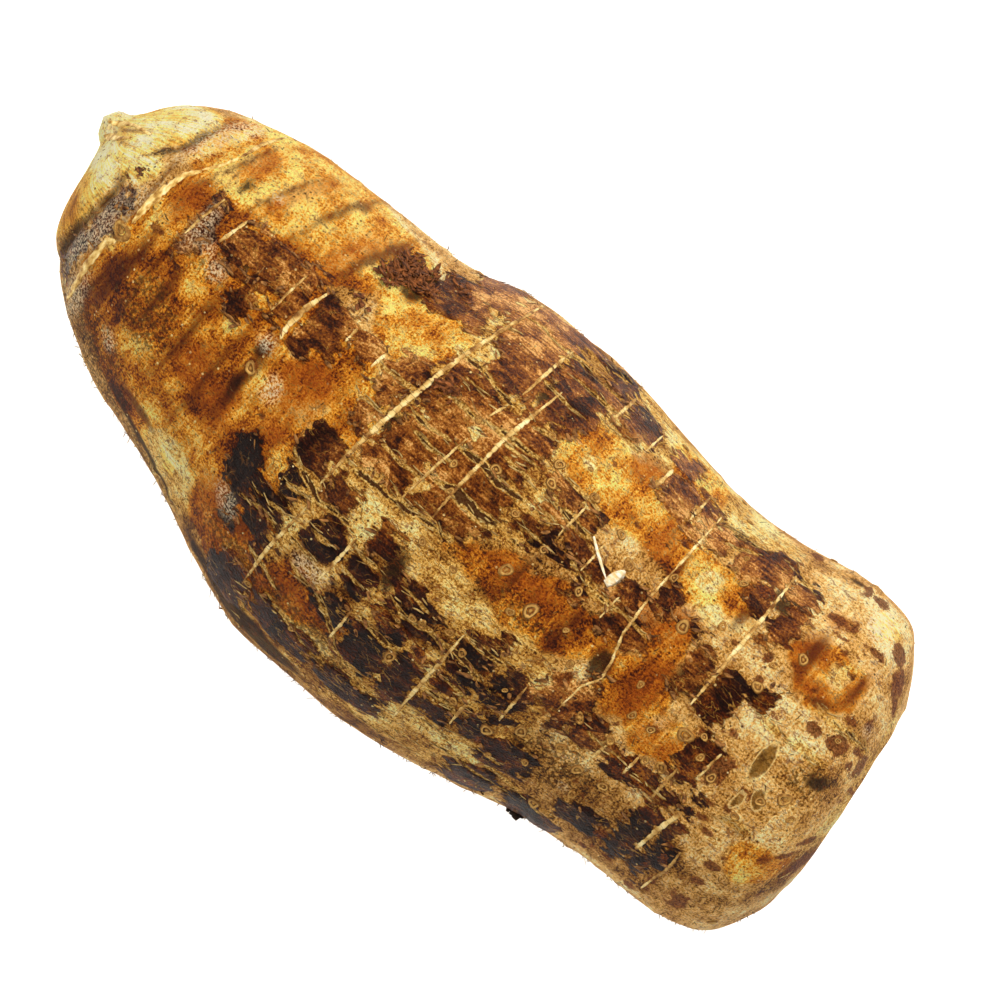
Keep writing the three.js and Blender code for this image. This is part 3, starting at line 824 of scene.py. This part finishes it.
# One closed sheet: the grid without its two pole rows, and a fan of triangles about each pole.
pole_free = skin_points[1:-1].reshape(-1, 3)
tips = np.array([skin_points[0, 0], skin_points[-1, 0]])
inner_rows = len(row_share) - 2
first = np.arange(AROUND)
second = (first + 1) % AROUND
last_row = (inner_rows - 1) * AROUND
bud_pole = inner_rows * AROUND
bud_fan = np.stack([np.full(AROUND, bud_pole), first, second], -1)
base_fan = np.stack([np.full(AROUND, bud_pole + 1), last_row + second, last_row + first], -1)
skin_faces = [*grid_faces(inner_rows, AROUND)[:, ::-1].tolist(), *bud_fan.tolist(), *base_fan.tolist()]
# Sixty small spots more, anywhere on the foot.
rng = np.random.default_rng(31)
loose_spots = [(x, y, s, s * k) for x, y, s, k in zip(
    rng.uniform(172, 236, 60), rng.uniform(-38, 42, 60), rng.uniform(0.4, 1.2, 60),
    rng.uniform(0.6, 1.5, 60))]
# How much of each thing there is at each point: depths in millimetres, or amounts from 0 to 1.
fields = {
    "plate": np.clip(plate_depth, -6, 6),
    "reddish": soft(inside(REDDISH), 8),
    "amber": soft(inside(AMBER, ragged=2.4), 6) * (1 - 0.8 * soft(split_depth + 0.4, 0.8))
             * (1 - soft(inside(CHIPS, ragged=1.2), 2)),
    "fair": soft(inside(FAIR_AND_SHEEN + CHIPS), 4),
    "deep": soft(inside(DEEP), 5),
    "cream": soft(inside(CREAM), 4),
    "straw": np.maximum(soft(inside(STRAW + CHIPS, ragged=1.5), 8), soft(split_depth + 0.8, 0.8)),
    "rust": soft(inside(RUST), 5),
    "band": soft(inside(BANDS, ragged=0.5), 1.8),
    "split": np.clip(split_depth, -4, 4),
    # Stains, and painted shade in the creases at the foot of the crown.
    "stain_and_crease_shade": soft(inside(STAINS_AND_CREASE_SHADE, ragged=0.5), 1.8),
    "mould": soft(inside(MOULD), 6),
    "scurf": soft(inside(SCURF, ragged=0.8), 2.5),
    "spot": np.clip(inside(SPOTS + loose_spots, ragged=0.4), -4, 4),
    "olive": np.clip(inside(OLIVE, ragged=0.8), -4, 4),
    "cut": cut,
    "fan": np.stack([25 * np.cos(round_), 25 * np.sin(round_), smooth[..., 0] * 0.1], -1),
}
flat_fields = {k: np.concatenate([v[1:-1].reshape(-1, *v.shape[2:]), v[0, :1], v[-1, :1]])
               for k, v in fields.items()}
skin = piece("skin", in_frame(np.vstack([pole_free, tips])), skin_faces, skin_material, flat_fields)
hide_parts("corm")


# Leaf scars: each old leaf left a raised corky line across the corm, pale where it has rubbed
# and cracked across every millimetre or two. Each is a low rib grown out of the skin, so it is
# laid along it.
row_at = np.arange(FLANK_ROWS)
wrapped_round = np.append(column_round, np.pi)


def on_skin(share, round_, lift=0.0):
    """Points in millimetres on the finished skin, lifted off it: the grid's points and normals
    blended bilinearly between the rows and columns about each share and angle."""
    share, round_ = np.broadcast_arrays(share, round_)
    row = np.clip(np.interp(share, flank, row_at), 0, FLANK_ROWS - 1.001)
    turned = (round_ + np.pi) % (2 * np.pi) - np.pi
    column = np.interp(turned, wrapped_round, np.arange(AROUND + 1))
    i, j = row.astype(int), column.astype(int)
    s, t = (row - i)[..., None], (column - j)[..., None]
    found = []
    for field in (skin_points, skin_normal):
        upper = field[i, j % AROUND] * (1 - t) + field[i, (j + 1) % AROUND] * t
        lower = field[i + 1, j % AROUND] * (1 - t) + field[i + 1, (j + 1) % AROUND] * t
        found.append(upper * (1 - s) + lower * s)
    return found[0] + found[1] * np.asarray(lift)[..., None]


# Millimetres along the corm for each whole share, by row.
share_step = np.gradient(smooth[:FLANK_ROWS].mean(1)[:, 0]) / np.gradient(flank)


def rib(share, round_, width, height, rng, ragged):
    """A closed rib along a line on the skin: at each station an oval of half width w = 0.4·width
    and height h, side = w·cos(t), lift = h·sin(t). w tapers to nothing at both ends as
    sin(pi·s)^0.3 and swells by chance, both quickly and slowly, and the line sways a little."""
    count, sides = len(share), 8
    arm_here = np.interp(share, flank, arm[:FLANK_ROWS, 0])
    stretch = np.interp(share, flank, share_step)
    du, dv = np.gradient(share) * stretch, np.gradient(round_) * arm_here
    size = np.maximum(np.hypot(du, dv), 1e-6)
    sway = np.convolve(rng.uniform(-1, 1, count + 4), np.ones(5) / 5, "valid") * ragged
    slow = np.convolve(rng.uniform(-1, 1, count + 14), np.ones(15) / 9, "valid")
    swell = 1 + ragged * (rng.uniform(-1, 1, count) + slow)
    ends = np.sin(np.linspace(0, np.pi, count)) ** 0.3
    t = np.arange(sides) * 2 * np.pi / sides
    side = (0.4 * width * np.maximum(swell, 0.25) * ends)[:, None] * np.cos(t) + (sway * 0.5)[:, None]
    lift = (height * (0.3 + 0.7 * ends))[:, None] * np.sin(t) + 0.05
    across_share = share[:, None] + side * (-dv / size / stretch)[:, None]
    across_round = round_[:, None] + side * (du / size / arm_here)[:, None]
    points = on_skin(across_share, across_round, lift)
    along = np.concatenate([[0], np.cumsum(size[1:])])
    places = np.stack(np.broadcast_arrays(along[:, None], np.cos(t) / 2 + 0.5), -1)
    return points, places


def ribs(name, lines, height, ragged, material, seed):
    """All the ribs of one kind as one mesh, each with its twin on the side the corm lies on."""
    rng = np.random.default_rng(seed)
    points, faces, places, total = [], [], [], 0
    for width, route in lines:
        for twin in (0, np.pi):
            share, angle = lay_out(route, 0.45)
            grid, place = rib(share, angle + twin, width, height, rng, ragged)
            count, sides = grid.shape[:2]
            points.append(grid.reshape(-1, 3))
            places.append(place.reshape(-1, 2))
            faces += closed_faces(count, sides, total)
            total += count * sides
    return piece(name, in_frame(np.vstack(points)), faces, material,
                 map_points=np.vstack(places))


# Each ridge: its width, and the x and y of points along it.
RIDGES = [
    (1.2, [(31.5, 27), (33, 33), (36, 38)]), (1.0, [(34.3, 5), (34.8, 10), (36, 17.5)]),
    (1.3, [(41.6, 9), (42.4, 13), (43.6, 17.5)]), (0.8, [(61.3, 5), (61.6, 11), (62.2, 17)]),
    (1.6, [(67.2, 1.5), (66.6, 5), (66.9, 11), (68.4, 17)]), (0.9, [(78.8, 11), (79.1, 15.5)]),
    (0.9, [(87.2, 10.5), (87.9, 16)]),
    (1.5, [(96.3, -17), (96.6, -8), (97.3, 0), (98.3, 9), (99.5, 18), (101.2, 28), (103.5, 37), (107, 48.5)]),
    (0.9, [(112.3, -7), (113.4, 5), (114.5, 14)]), (0.9, [(114.7, 20), (116.3, 26)]),
    (1.0, [(117.2, 29), (117.8, 36), (119, 45)]),
    (1.3, [(120.6, -5.5), (120.2, 2), (120.4, 10), (121, 20), (122.5, 30), (123.5, 36)]),
    (1.0, [(121.3, -42), (120.9, -33)]), (1.1, [(136.4, 39), (137.3, 47)]),
    (0.9, [(146.6, 38), (147.6, 45)]), (1.0, [(144.6, 10.5), (145, 20)]),
    (0.8, [(153.8, 8), (154, 17)]), (1.3, [(153.8, 33.5), (154.5, 40)]),
    (1.1, [(144.4, -46), (143.9, -37), (143.8, -20)]), (1.0, [(155, -38), (154.5, -30)]),
    (1.0, [(162.3, -19), (162.9, -30)]), (1.0, [(164.8, 33.5), (165.2, 41)]),
    (0.9, [(164.2, 3), (164.5, 10)]),
    (0.9, [(171, -19), (171.5, -11), (174, -7), (173, -2), (170.6, 4), (169.8, 14), (169.9, 25),
           (170.2, 40)]),
    (1.3, [(193, 2), (192.9, 12), (192.7, 25), (192.2, 41)]), (1.0, [(185.2, -17), (184.5, -22)]),
    (1.0, [(192.5, -14), (192.3, -20)]), (1.0, [(200.8, -10), (201, -20)]),
    (1.4, [(206.3, -31), (207, -24), (208.5, -17)]), (0.9, [(205.6, -9), (206, -1)]),
    (0.9, [(213.5, -37), (215, -30), (214.5, -24)]), (1.0, [(98, -46), (97, -36), (97.5, -22)]),
    (1.0, [(110.5, -34), (111, -20)]),
]
# Rubbed cork: pale, matt, and stepped by a dark crack every couple of millimetres.
cork, cork_tree, cork_shader = blank("rubbed leaf-scar cork", {
    "Roughness": 0.75, "Specular IOR Level": 0.2})
rib_place = add(cork_tree, "UVMap", uv_map="lengthwise")
cork_place = add(cork_tree, "TexCoord", out="Object")
cork_mm = add(cork_tree, "Mapping", {"Vector": cork_place, "Scale": MM})
cork_noise = add(cork_tree, "TexNoise", {"Vector": cork_mm, "Scale": 1 / 3.2, "Detail": 5})
cork_colour = add(cork_tree, "ValToRGB", {"Fac": cork_noise}, stops=[
    (0.33, "#6e4418"), (0.44, "#b08646"), (0.54, "#d4b672"), (0.7, "#efdfa8")])
steps = add(cork_tree, "TexWave", {"Vector": rib_place, "Scale": 0.55 / 3.14, "Distortion": 2.2,
                                   "Detail": 1.0}, wave_profile="SAW", out=1)
steps = add(cork_tree, "MapRange", {0: steps, 1: 0.0, 2: 0.13, 3: 0.75, 4: 0.0})
cork_colour = add(cork_tree, "MixRGB", {0: steps, 1: cork_colour, 2: "#432409"})
cork_tree.links.new(cork_colour, cork_shader.inputs["Base Color"])
cork_bump = add(cork_tree, "Bump", {"Height": cork_noise, "Distance": 0.0006, "Strength": 0.8})
cork_tree.links.new(cork_bump, cork_shader.inputs["Normal"])
ribs("leaf_scar_ridges", RIDGES, height=0.2, ragged=0.34, material=cork, seed=41)
# The youngest ring, at the foot of the crown's sheath, is wider, smoother and still pale.
# Young cork: cream in fine streaks across the ring, the brightest line on the corm.
young, young_tree, young_shader = blank("young leaf-scar ring", {
    "Roughness": 0.6, "Specular IOR Level": 0.2})
young_place = add(young_tree, "TexCoord", out="Object")
young_mm = add(young_tree, "Mapping", {"Vector": young_place, "Scale": (900, 500, 500)})
young_noise = add(young_tree, "TexNoise", {"Vector": young_mm, "Scale": 1.0, "Detail": 5})
young_colour = add(young_tree, "ValToRGB", {"Fac": young_noise}, stops=[
    (0.34, "#8a5e22"), (0.46, "#c49a4e"), (0.58, "#e4c880"), (0.74, "#f6e6b0")])
young_tree.links.new(young_colour, young_shader.inputs["Base Color"])
RING_PARTS = [
    (1.9, [(22.9, -25), (22.3, -19), (21.8, -14), (21.6, -8)]),
    (1.8, [(20.6, -7.4), (21.8, -8.2), (23.6, -6.4)]), (1.2, [(21.2, -12), (21.4, -8)]),
    (2.0, [(23.4, -1.4), (23.2, 4), (23.8, 9.6), (24.8, 14.6), (27.4, 18.8)]),
    (1.2, [(22.9, 1), (22.6, 6), (23.2, 11)]), (1.0, [(27, 18.6), (30, 23), (31.6, 27)]),
    (1.5, [(1.6, 12.8), (3.4, 13.6), (5.4, 15.2), (8.2, 16.3), (12.6, 16.9)]),
    (1.1, [(3.0, 9.8), (5, 10.4), (7.6, 11.8), (9.8, 13.8)]),
]
ribs("crown_ring", RING_PARTS, height=0.28, ragged=0.3, material=young, seed=43)


# Root scars: where each feeding root was rubbed off it left a small round crater, a pale corky
# rim about a dark ring and a paler core. They are thickest towards the base. Each scar is given
# as x, y and radius.
ROOT_SCARS = [
    (134, 23, 1.2), (145.2, 22.9, 1.2), (155.3, 20.7, 1.1), (161.3, 16.8, 1.3), (180, 14.6, 1.5),
    (151.3, -6, 1.6), (141, -2.8, 1.4), (140, 27, 0.6), (22.6, -4, 2.0), (66.6, -7.6, 1.3),
    (156.5, 4.5, 1.0), (181.5, -1.8, 0.8), (184.8, -8.3, 0.9), (190.3, -8, 0.9), (197, -3.6, 1.6),
    (200.5, -1, 0.8), (198, -12.9, 1.2), (194, -14, 0.9), (208, -7, 1.1), (224, 0.5, 1.4),
    (220, -3.5, 1.1), (176.5, -17, 0.9), (185, -16, 1.0), (168.5, -28.3, 1.4), (177.8, -25, 1.2),
    (184, -26, 1.2), (191, -25, 1.1), (132, -10.8, 0.8), (122.5, -10.8, 0.9), (135, -24.8, 1.0),
    (134.5, -35.5, 1.3), (113.5, -45.8, 1.0), (141, -22.2, 0.9), (134, 8, 0.9), (135.5, 18.5, 1.2),
    (113.5, 18.3, 0.9), (116, 7.2, 0.9), (119.5, 2, 0.8), (107, -0.3, 0.7), (124, 12.6, 1.2),
    (128.5, 26.8, 0.9), (205.8, 27.2, 1.3), (186.7, 20.8, 1.0), (171, 21.5, 1.0), (184, 31.3, 1.0),
    (201.5, 21.7, 0.9), (202, 15.5, 1.3), (162.2, -33, 1.4), (166.5, -37.5, 0.9), (182, -38.6, 1.4),
    (228, -2, 0.8), (166, 41, 0.9), (176, 43, 0.8), (152, -33, 0.9), (174, -33, 0.9), (187, -31, 1.0),
    (203, -5, 0.9), (161, 44, 0.8), (218, -10, 0.9), (99, -45, 0.9),
]
CRATER = np.array([  # share of the radius, lift in millimetres, from the core to the underside
    (0.0, 0.12), (0.28, 0.14), (0.42, -0.02), (0.58, 0.02), (0.76, 0.34), (0.94, 0.34), (1.14, 0.06),
    (1.3, -0.25)])
HIGHEST_FOR = 1.3  # millimetres of radius beyond which a scar grows no higher


def craters(name, places, material, sides=12):
    """Small craters laid on the skin: rings at the profile's radii, each point on the skin at
    radius·(cos t, sin t) from the crater's middle and lifted by the profile, closed below."""
    points, faces, shares, tones = [], [], [], []
    t = np.arange(sides) * 2 * np.pi / sides
    share_of_radius, lift = CRATER.T
    count = len(CRATER)
    for number, (share, angle, radius) in enumerate(places):
        arm_here = np.interp(share, flank, arm[:FLANK_ROWS, 0])
        stretch = np.interp(share, flank, share_step)
        uneven = 1 + 0.16 * np.sin(2 * t + number) + 0.09 * np.sin(3 * t + 2.3 * number)
        far = share_of_radius[:, None] * radius * uneven
        grid = on_skin(share + far * np.cos(t) / stretch, angle + far * np.sin(t) / arm_here,
                       lift[:, None] * min(radius, HIGHEST_FOR))
        points.append(grid.reshape(-1, 3))
        shares.append(np.repeat(share_of_radius, sides))
        tones.append(np.full(count * sides, (number * 0.618) % 1.0))
        faces += closed_faces(count, sides, number * count * sides, flip=True)
    return piece(name, in_frame(np.vstack(points)), faces, material,
                 {"radius": np.concatenate(shares), "tone": np.concatenate(tones)})


x, y, radius = np.array(ROOT_SCARS).T
scar_share, scar_round = surface_place(x, y)
# Forty smaller ones more, anywhere round the lower half.
rng = np.random.default_rng(51)
extra = 40
extra_share = np.interp(rng.uniform(120, 232, extra), flank_x, flank)
scars = np.vstack([
    np.stack([scar_share, scar_round, radius], -1),
    np.stack([scar_share, scar_round + np.pi, radius], -1),
    np.stack([extra_share, rng.uniform(-np.pi, np.pi, extra), rng.uniform(0.5, 1.0, extra)], -1),
])
# Scar cork: ringed light and dark from the core out, and each scar ringed more or less plainly.
scar_cork, scar_tree, scar_shader = blank("root-scar cork", {
    "Roughness": 0.7, "Specular IOR Level": 0.2})
from_core = add(scar_tree, "Attribute", attribute_name="radius", out="Fac")
scar_place = add(scar_tree, "TexCoord", out="Object")
scar_mm = add(scar_tree, "Mapping", {"Vector": scar_place, "Scale": MM})
scar_noise = add(scar_tree, "TexNoise", {"Vector": scar_mm, "Scale": 1 / 0.9, "Detail": 3})
from_core = add(scar_tree, "Math", {0: scar_noise, 1: 0.5, 2: from_core}, operation="MULTIPLY_ADD")
from_core = add(scar_tree, "MapRange", {0: from_core, 1: 0.25, 2: 1.55})
scar_colour = add(scar_tree, "ValToRGB", {"Fac": from_core}, stops=[
    (0.1, "#b98a40"), (0.26, "#5a300c"), (0.42, "#35180a"), (0.56, "#cda45a"), (0.68, "#ae8240"),
    (0.82, "#4a2a0c"), (1.0, "#6a4419")])
tone = add(scar_tree, "Attribute", attribute_name="tone", out="Fac")
tone = add(scar_tree, "MapRange", {0: tone, 3: 0.2, 4: 0.9})
scar_shade = add(scar_tree, "ValToRGB", {"Fac": scar_noise}, stops=[
    (0.3, "#4a2508"), (0.5, "#8e6127"), (0.7, "#c79f54")])
scar_colour = add(scar_tree, "MixRGB", {0: tone, 1: scar_colour, 2: scar_shade})
scar_tree.links.new(scar_colour, scar_shader.inputs["Base Color"])
craters("root_scars", scars, scar_cork)


# Shreds, fibres and hairs: what is left of old leaf bases and feeding roots. All are thin strands
# rooted in the skin: dark curled shreds in tufts, straw fibres along the torn bark, fine hairs.
def strands(name, share, angle, heading, length, width, thick, rise, curl, material):
    """Closed flat strands. Each starts at a place on the skin and runs for its length, turning
    in the skin's plane from its heading by curl, rising off it by rise·length·s^1.2 at share s
    of the way, with an oval section that swells and thins as sin(pi·(0.15 + 0.83·s))^0.6."""
    here = on_skin(share, angle, np.full(len(share), thick / 2))
    along = on_skin(share + 2e-3, angle) - on_skin(share - 2e-3, angle)
    along /= np.linalg.norm(along, axis=-1, keepdims=True)
    across = on_skin(share, angle + 1e-2) - on_skin(share, angle - 1e-2)
    across /= np.linalg.norm(across, axis=-1, keepdims=True)
    up = np.cross(along, across)
    up *= np.sign((up * (here - body(share, 0.0, angle))).sum(-1, keepdims=True))
    stations, sides = 8, 6
    s = np.linspace(0, 1, stations)
    turn = heading[:, None] + curl[:, None] * s
    step = length[:, None, None] / (stations - 1) * (
        np.cos(turn)[..., None] * along[:, None] + np.sin(turn)[..., None] * across[:, None])
    run = np.cumsum(step, 1) - step
    flat = np.cos(turn)[..., None] * across[:, None] - np.sin(turn)[..., None] * along[:, None]
    lift = (rise * length)[:, None] * s**1.2
    centre = here[:, None] + run + lift[..., None] * up[:, None]
    t = np.arange(sides) * 2 * np.pi / sides
    thin = np.sin(np.pi * (0.15 + 0.83 * s)) ** 0.6
    side = (width[:, None] / 2 * thin)[..., None] * np.cos(t)
    high = (thick / 2 * thin)[:, None] * np.sin(t)
    points = centre[:, :, None] + side[..., None] * flat[:, :, None] + high[..., None] * up[:, None, None]
    faces = []
    for number in range(len(share)):
        faces += closed_faces(stations, sides, number * stations * sides)
    return piece(name, in_frame(points.reshape(-1, 3)), faces, material)


def dry_strand(name, dark, fair, roughness):
    """The material of a dried plant strand: two browns mixed in streaks along the corm."""
    material, tree, shader = blank(name, {"Roughness": roughness, "Specular IOR Level": 0.15})
    place = add(tree, "TexCoord", out="Object")
    long_mm = add(tree, "Mapping", {"Vector": place, "Scale": (400, 1000, 1000)})
    streak = add(tree, "TexNoise", {"Vector": long_mm, "Scale": 1 / 0.8, "Detail": 4})
    shade = add(tree, "ValToRGB", {"Fac": streak}, stops=[(0.35, dark), (0.68, fair)])
    tree.links.new(shade, shader.inputs["Base Color"])
    bump = add(tree, "Bump", {"Height": streak, "Distance": 0.0005, "Strength": 0.8})
    tree.links.new(bump, shader.inputs["Normal"])
    return material


# Each tuft: the x and y of its middle, how far it spreads, how many shreds, and the longest.
TUFTS = [
    (76, 30.6, 3.2, 70, 3.8), (77.6, 34.8, 2.8, 44, 3.6), (80.6, 33.4, 3.2, 50, 3.8),
    (84, 32.4, 2.4, 26, 3.2), (83, 36.6, 2.4, 20, 3.0), (92, 38, 2.6, 8, 2.4), (103, 19, 2.4, 44, 2.4),
    (75.4, 20.5, 1.8, 10, 2.4), (86, 38.5, 2.4, 8, 2.6),
]
rng = np.random.default_rng(61)
x, y, size = [], [], []
for centre_x, centre_y, spread_mm, count, longest in TUFTS:
    x.append(centre_x + rng.normal(0, spread_mm / 2, count))
    y.append(centre_y + rng.normal(0, spread_mm / 2.4, count))
    size.append(rng.uniform(0.3, 1.0, count) * longest)
share_at, round_at = surface_place(np.concatenate(x), np.concatenate(y))
size = np.concatenate(size)
count = len(size)
# Shreds: dead leaf-base tissue, nearly black with rusty streaks, so a tuft reads as a dark knot.
shred_brown = dry_strand("dried leaf-base shreds", "#2c1006", "#96592c", 0.65)
strands("leaf_base_shreds", share_at, round_at, heading=rng.uniform(-np.pi, np.pi, count),
        length=size, width=rng.uniform(0.4, 1.7, count), thick=0.3,
        rise=rng.uniform(0.05, 0.7, count), curl=rng.normal(0, 1.6, count), material=shred_brown)

# Straw fibres bridge the splits and lie along the torn ground.
rng = np.random.default_rng(63)
spots_on_lines = [lay_out(route, 9.0) for _, route in SPLITS]
share_at = np.concatenate([place[0] for place in spots_on_lines] * 2)
round_at = np.concatenate([place[1] for place in spots_on_lines])
round_at = np.concatenate([round_at, round_at + np.pi])
count = len(share_at)
round_at = round_at + rng.normal(0, 0.012, count)
# Bast: dull straw, the palest thing on the bark, which gives it its torn look.
straw_fibre = dry_strand("straw bast fibre", "#6b4718", "#cdb070", 0.75)
strands("bast_fibres", share_at, round_at,
        heading=rng.choice([0, np.pi], count) + rng.normal(0, 0.22, count),
        length=rng.uniform(1.2, 4.0, count), width=rng.uniform(0.2, 0.5, count), thick=0.22,
        rise=rng.uniform(0.0, 0.05, count), curl=rng.normal(0, 0.2, count), material=straw_fibre)

# Hairs: short, dark and fine, all over but thickest below the belly.
rng = np.random.default_rng(65)
count = 1500
share_at = np.interp(rng.uniform(25, 232, count), flank_x, flank)
round_at = rng.normal(-1.6, 0.9, count)
round_at = round_at + (rng.uniform(size=count) < 0.35) * rng.uniform(0, 2 * np.pi, count)
hair_brown = dry_strand("fine root hair", "#2a1608", "#80592a", 0.7)
strands("root_hairs", share_at, round_at, heading=rng.uniform(-np.pi, np.pi, count),
        length=rng.uniform(0.5, 1.9, count), width=rng.uniform(0.14, 0.28, count), thick=0.14,
        rise=rng.uniform(0.1, 0.8, count), curl=rng.normal(0, 0.9, count), material=hair_brown)

# Flakes: slivers of bark that have lifted along the torn outlines of the plates.
rng = np.random.default_rng(67)
count = 1000
FIRST_ROW = 12  # clear of the bud
edge_row, edge_column = np.nonzero(np.abs(plate_depth[FIRST_ROW:FLANK_ROWS - 6]) < 0.5)
picked = rng.integers(0, len(edge_row), count)
flake_brown = dry_strand("lifted bark flake", "#3a1c0a", "#a8743c", 0.6)
strands("bark_flakes", row_share[edge_row[picked] + FIRST_ROW], column_round[edge_column[picked]],
        heading=rng.choice([0, np.pi], count) + rng.normal(0, 0.6, count),
        length=rng.uniform(0.8, 2.8, count), width=rng.uniform(0.3, 1.1, count), thick=0.16,
        rise=rng.uniform(0.02, 0.4, count), curl=rng.normal(0, 0.5, count), material=flake_brown)

# A lifted peel of the thin inner skin, bleached almost white: a stalk, and a flap of two folds.
peel_white = dry_strand("bleached inner skin", "#e0c283", "#fffaea", 0.6)
share_at, round_at = surface_place([150.8, 160.0, 160.4], [16.2, 9.9, 10.0])
strands("skin_peel", share_at, round_at, heading=np.array([-0.64, 1.2, 1.35]),
        length=np.array([10.6, 5.4, 4.6]), width=np.array([0.8, 3.3, 2.4]), thick=0.4,
        rise=np.array([0.24, 0.1, 0.26]), curl=np.array([0.06, 0.3, 0.3]), material=peel_white)


# Dust and soil: grains caught on the skin when the corm was lifted, pale cork dust all over and a
# few crumbs of black earth on the flank at the waist.
def grains(name, share, angle, radius, material, seed):
    """Small lumps on the skin: rings of a sphere at cos and sin of the latitude, each point's
    distance from the middle uneven by a third."""
    rng = np.random.default_rng(seed)
    rings, sides = 4, 6
    latitude = (np.arange(rings) + 0.5) / rings * np.pi
    t = np.arange(sides) * 2 * np.pi / sides
    unit = np.stack([np.sin(latitude)[:, None] * np.cos(t), np.sin(latitude)[:, None] * np.sin(t),
                     np.cos(latitude)[:, None] * np.ones(sides)], -1)
    size = radius[:, None, None, None] * rng.uniform(0.7, 1.3, (len(share), rings, sides, 1))
    middle = on_skin(share, angle, radius * 0.5)
    points = middle[:, None, None] + unit * size
    faces = []
    for number in range(len(share)):
        faces += closed_faces(rings, sides, number * rings * sides, flip=True)
    return piece(name, in_frame(points.reshape(-1, 3)), faces, material)


rng = np.random.default_rng(71)
count = 180
share_at = np.interp(rng.uniform(12, 236, count), flank_x, flank)
# Cork dust: pale specks that catch the light. Earth: a near-black speck or two at the outline.
dust = dry_strand("pale cork dust", "#a07a3c", "#f0dca6", 0.8)
grains("cork_dust", share_at, rng.uniform(-np.pi, np.pi, count), rng.uniform(0.1, 0.3, count), dust,
       seed=72)
share_at, round_at = surface_place(
    [180.2, 181.4, 181.0, 182.6, 179.0], [-44.3, -44.9, -43.8, -44.1, -43.9])
earth = dry_strand("black earth", "#0c0805", "#2e2015", 0.9)
grains("earth_crumbs", share_at, round_at, np.array([1.0, 1.2, 0.8, 0.7, 0.6]), earth, seed=73)
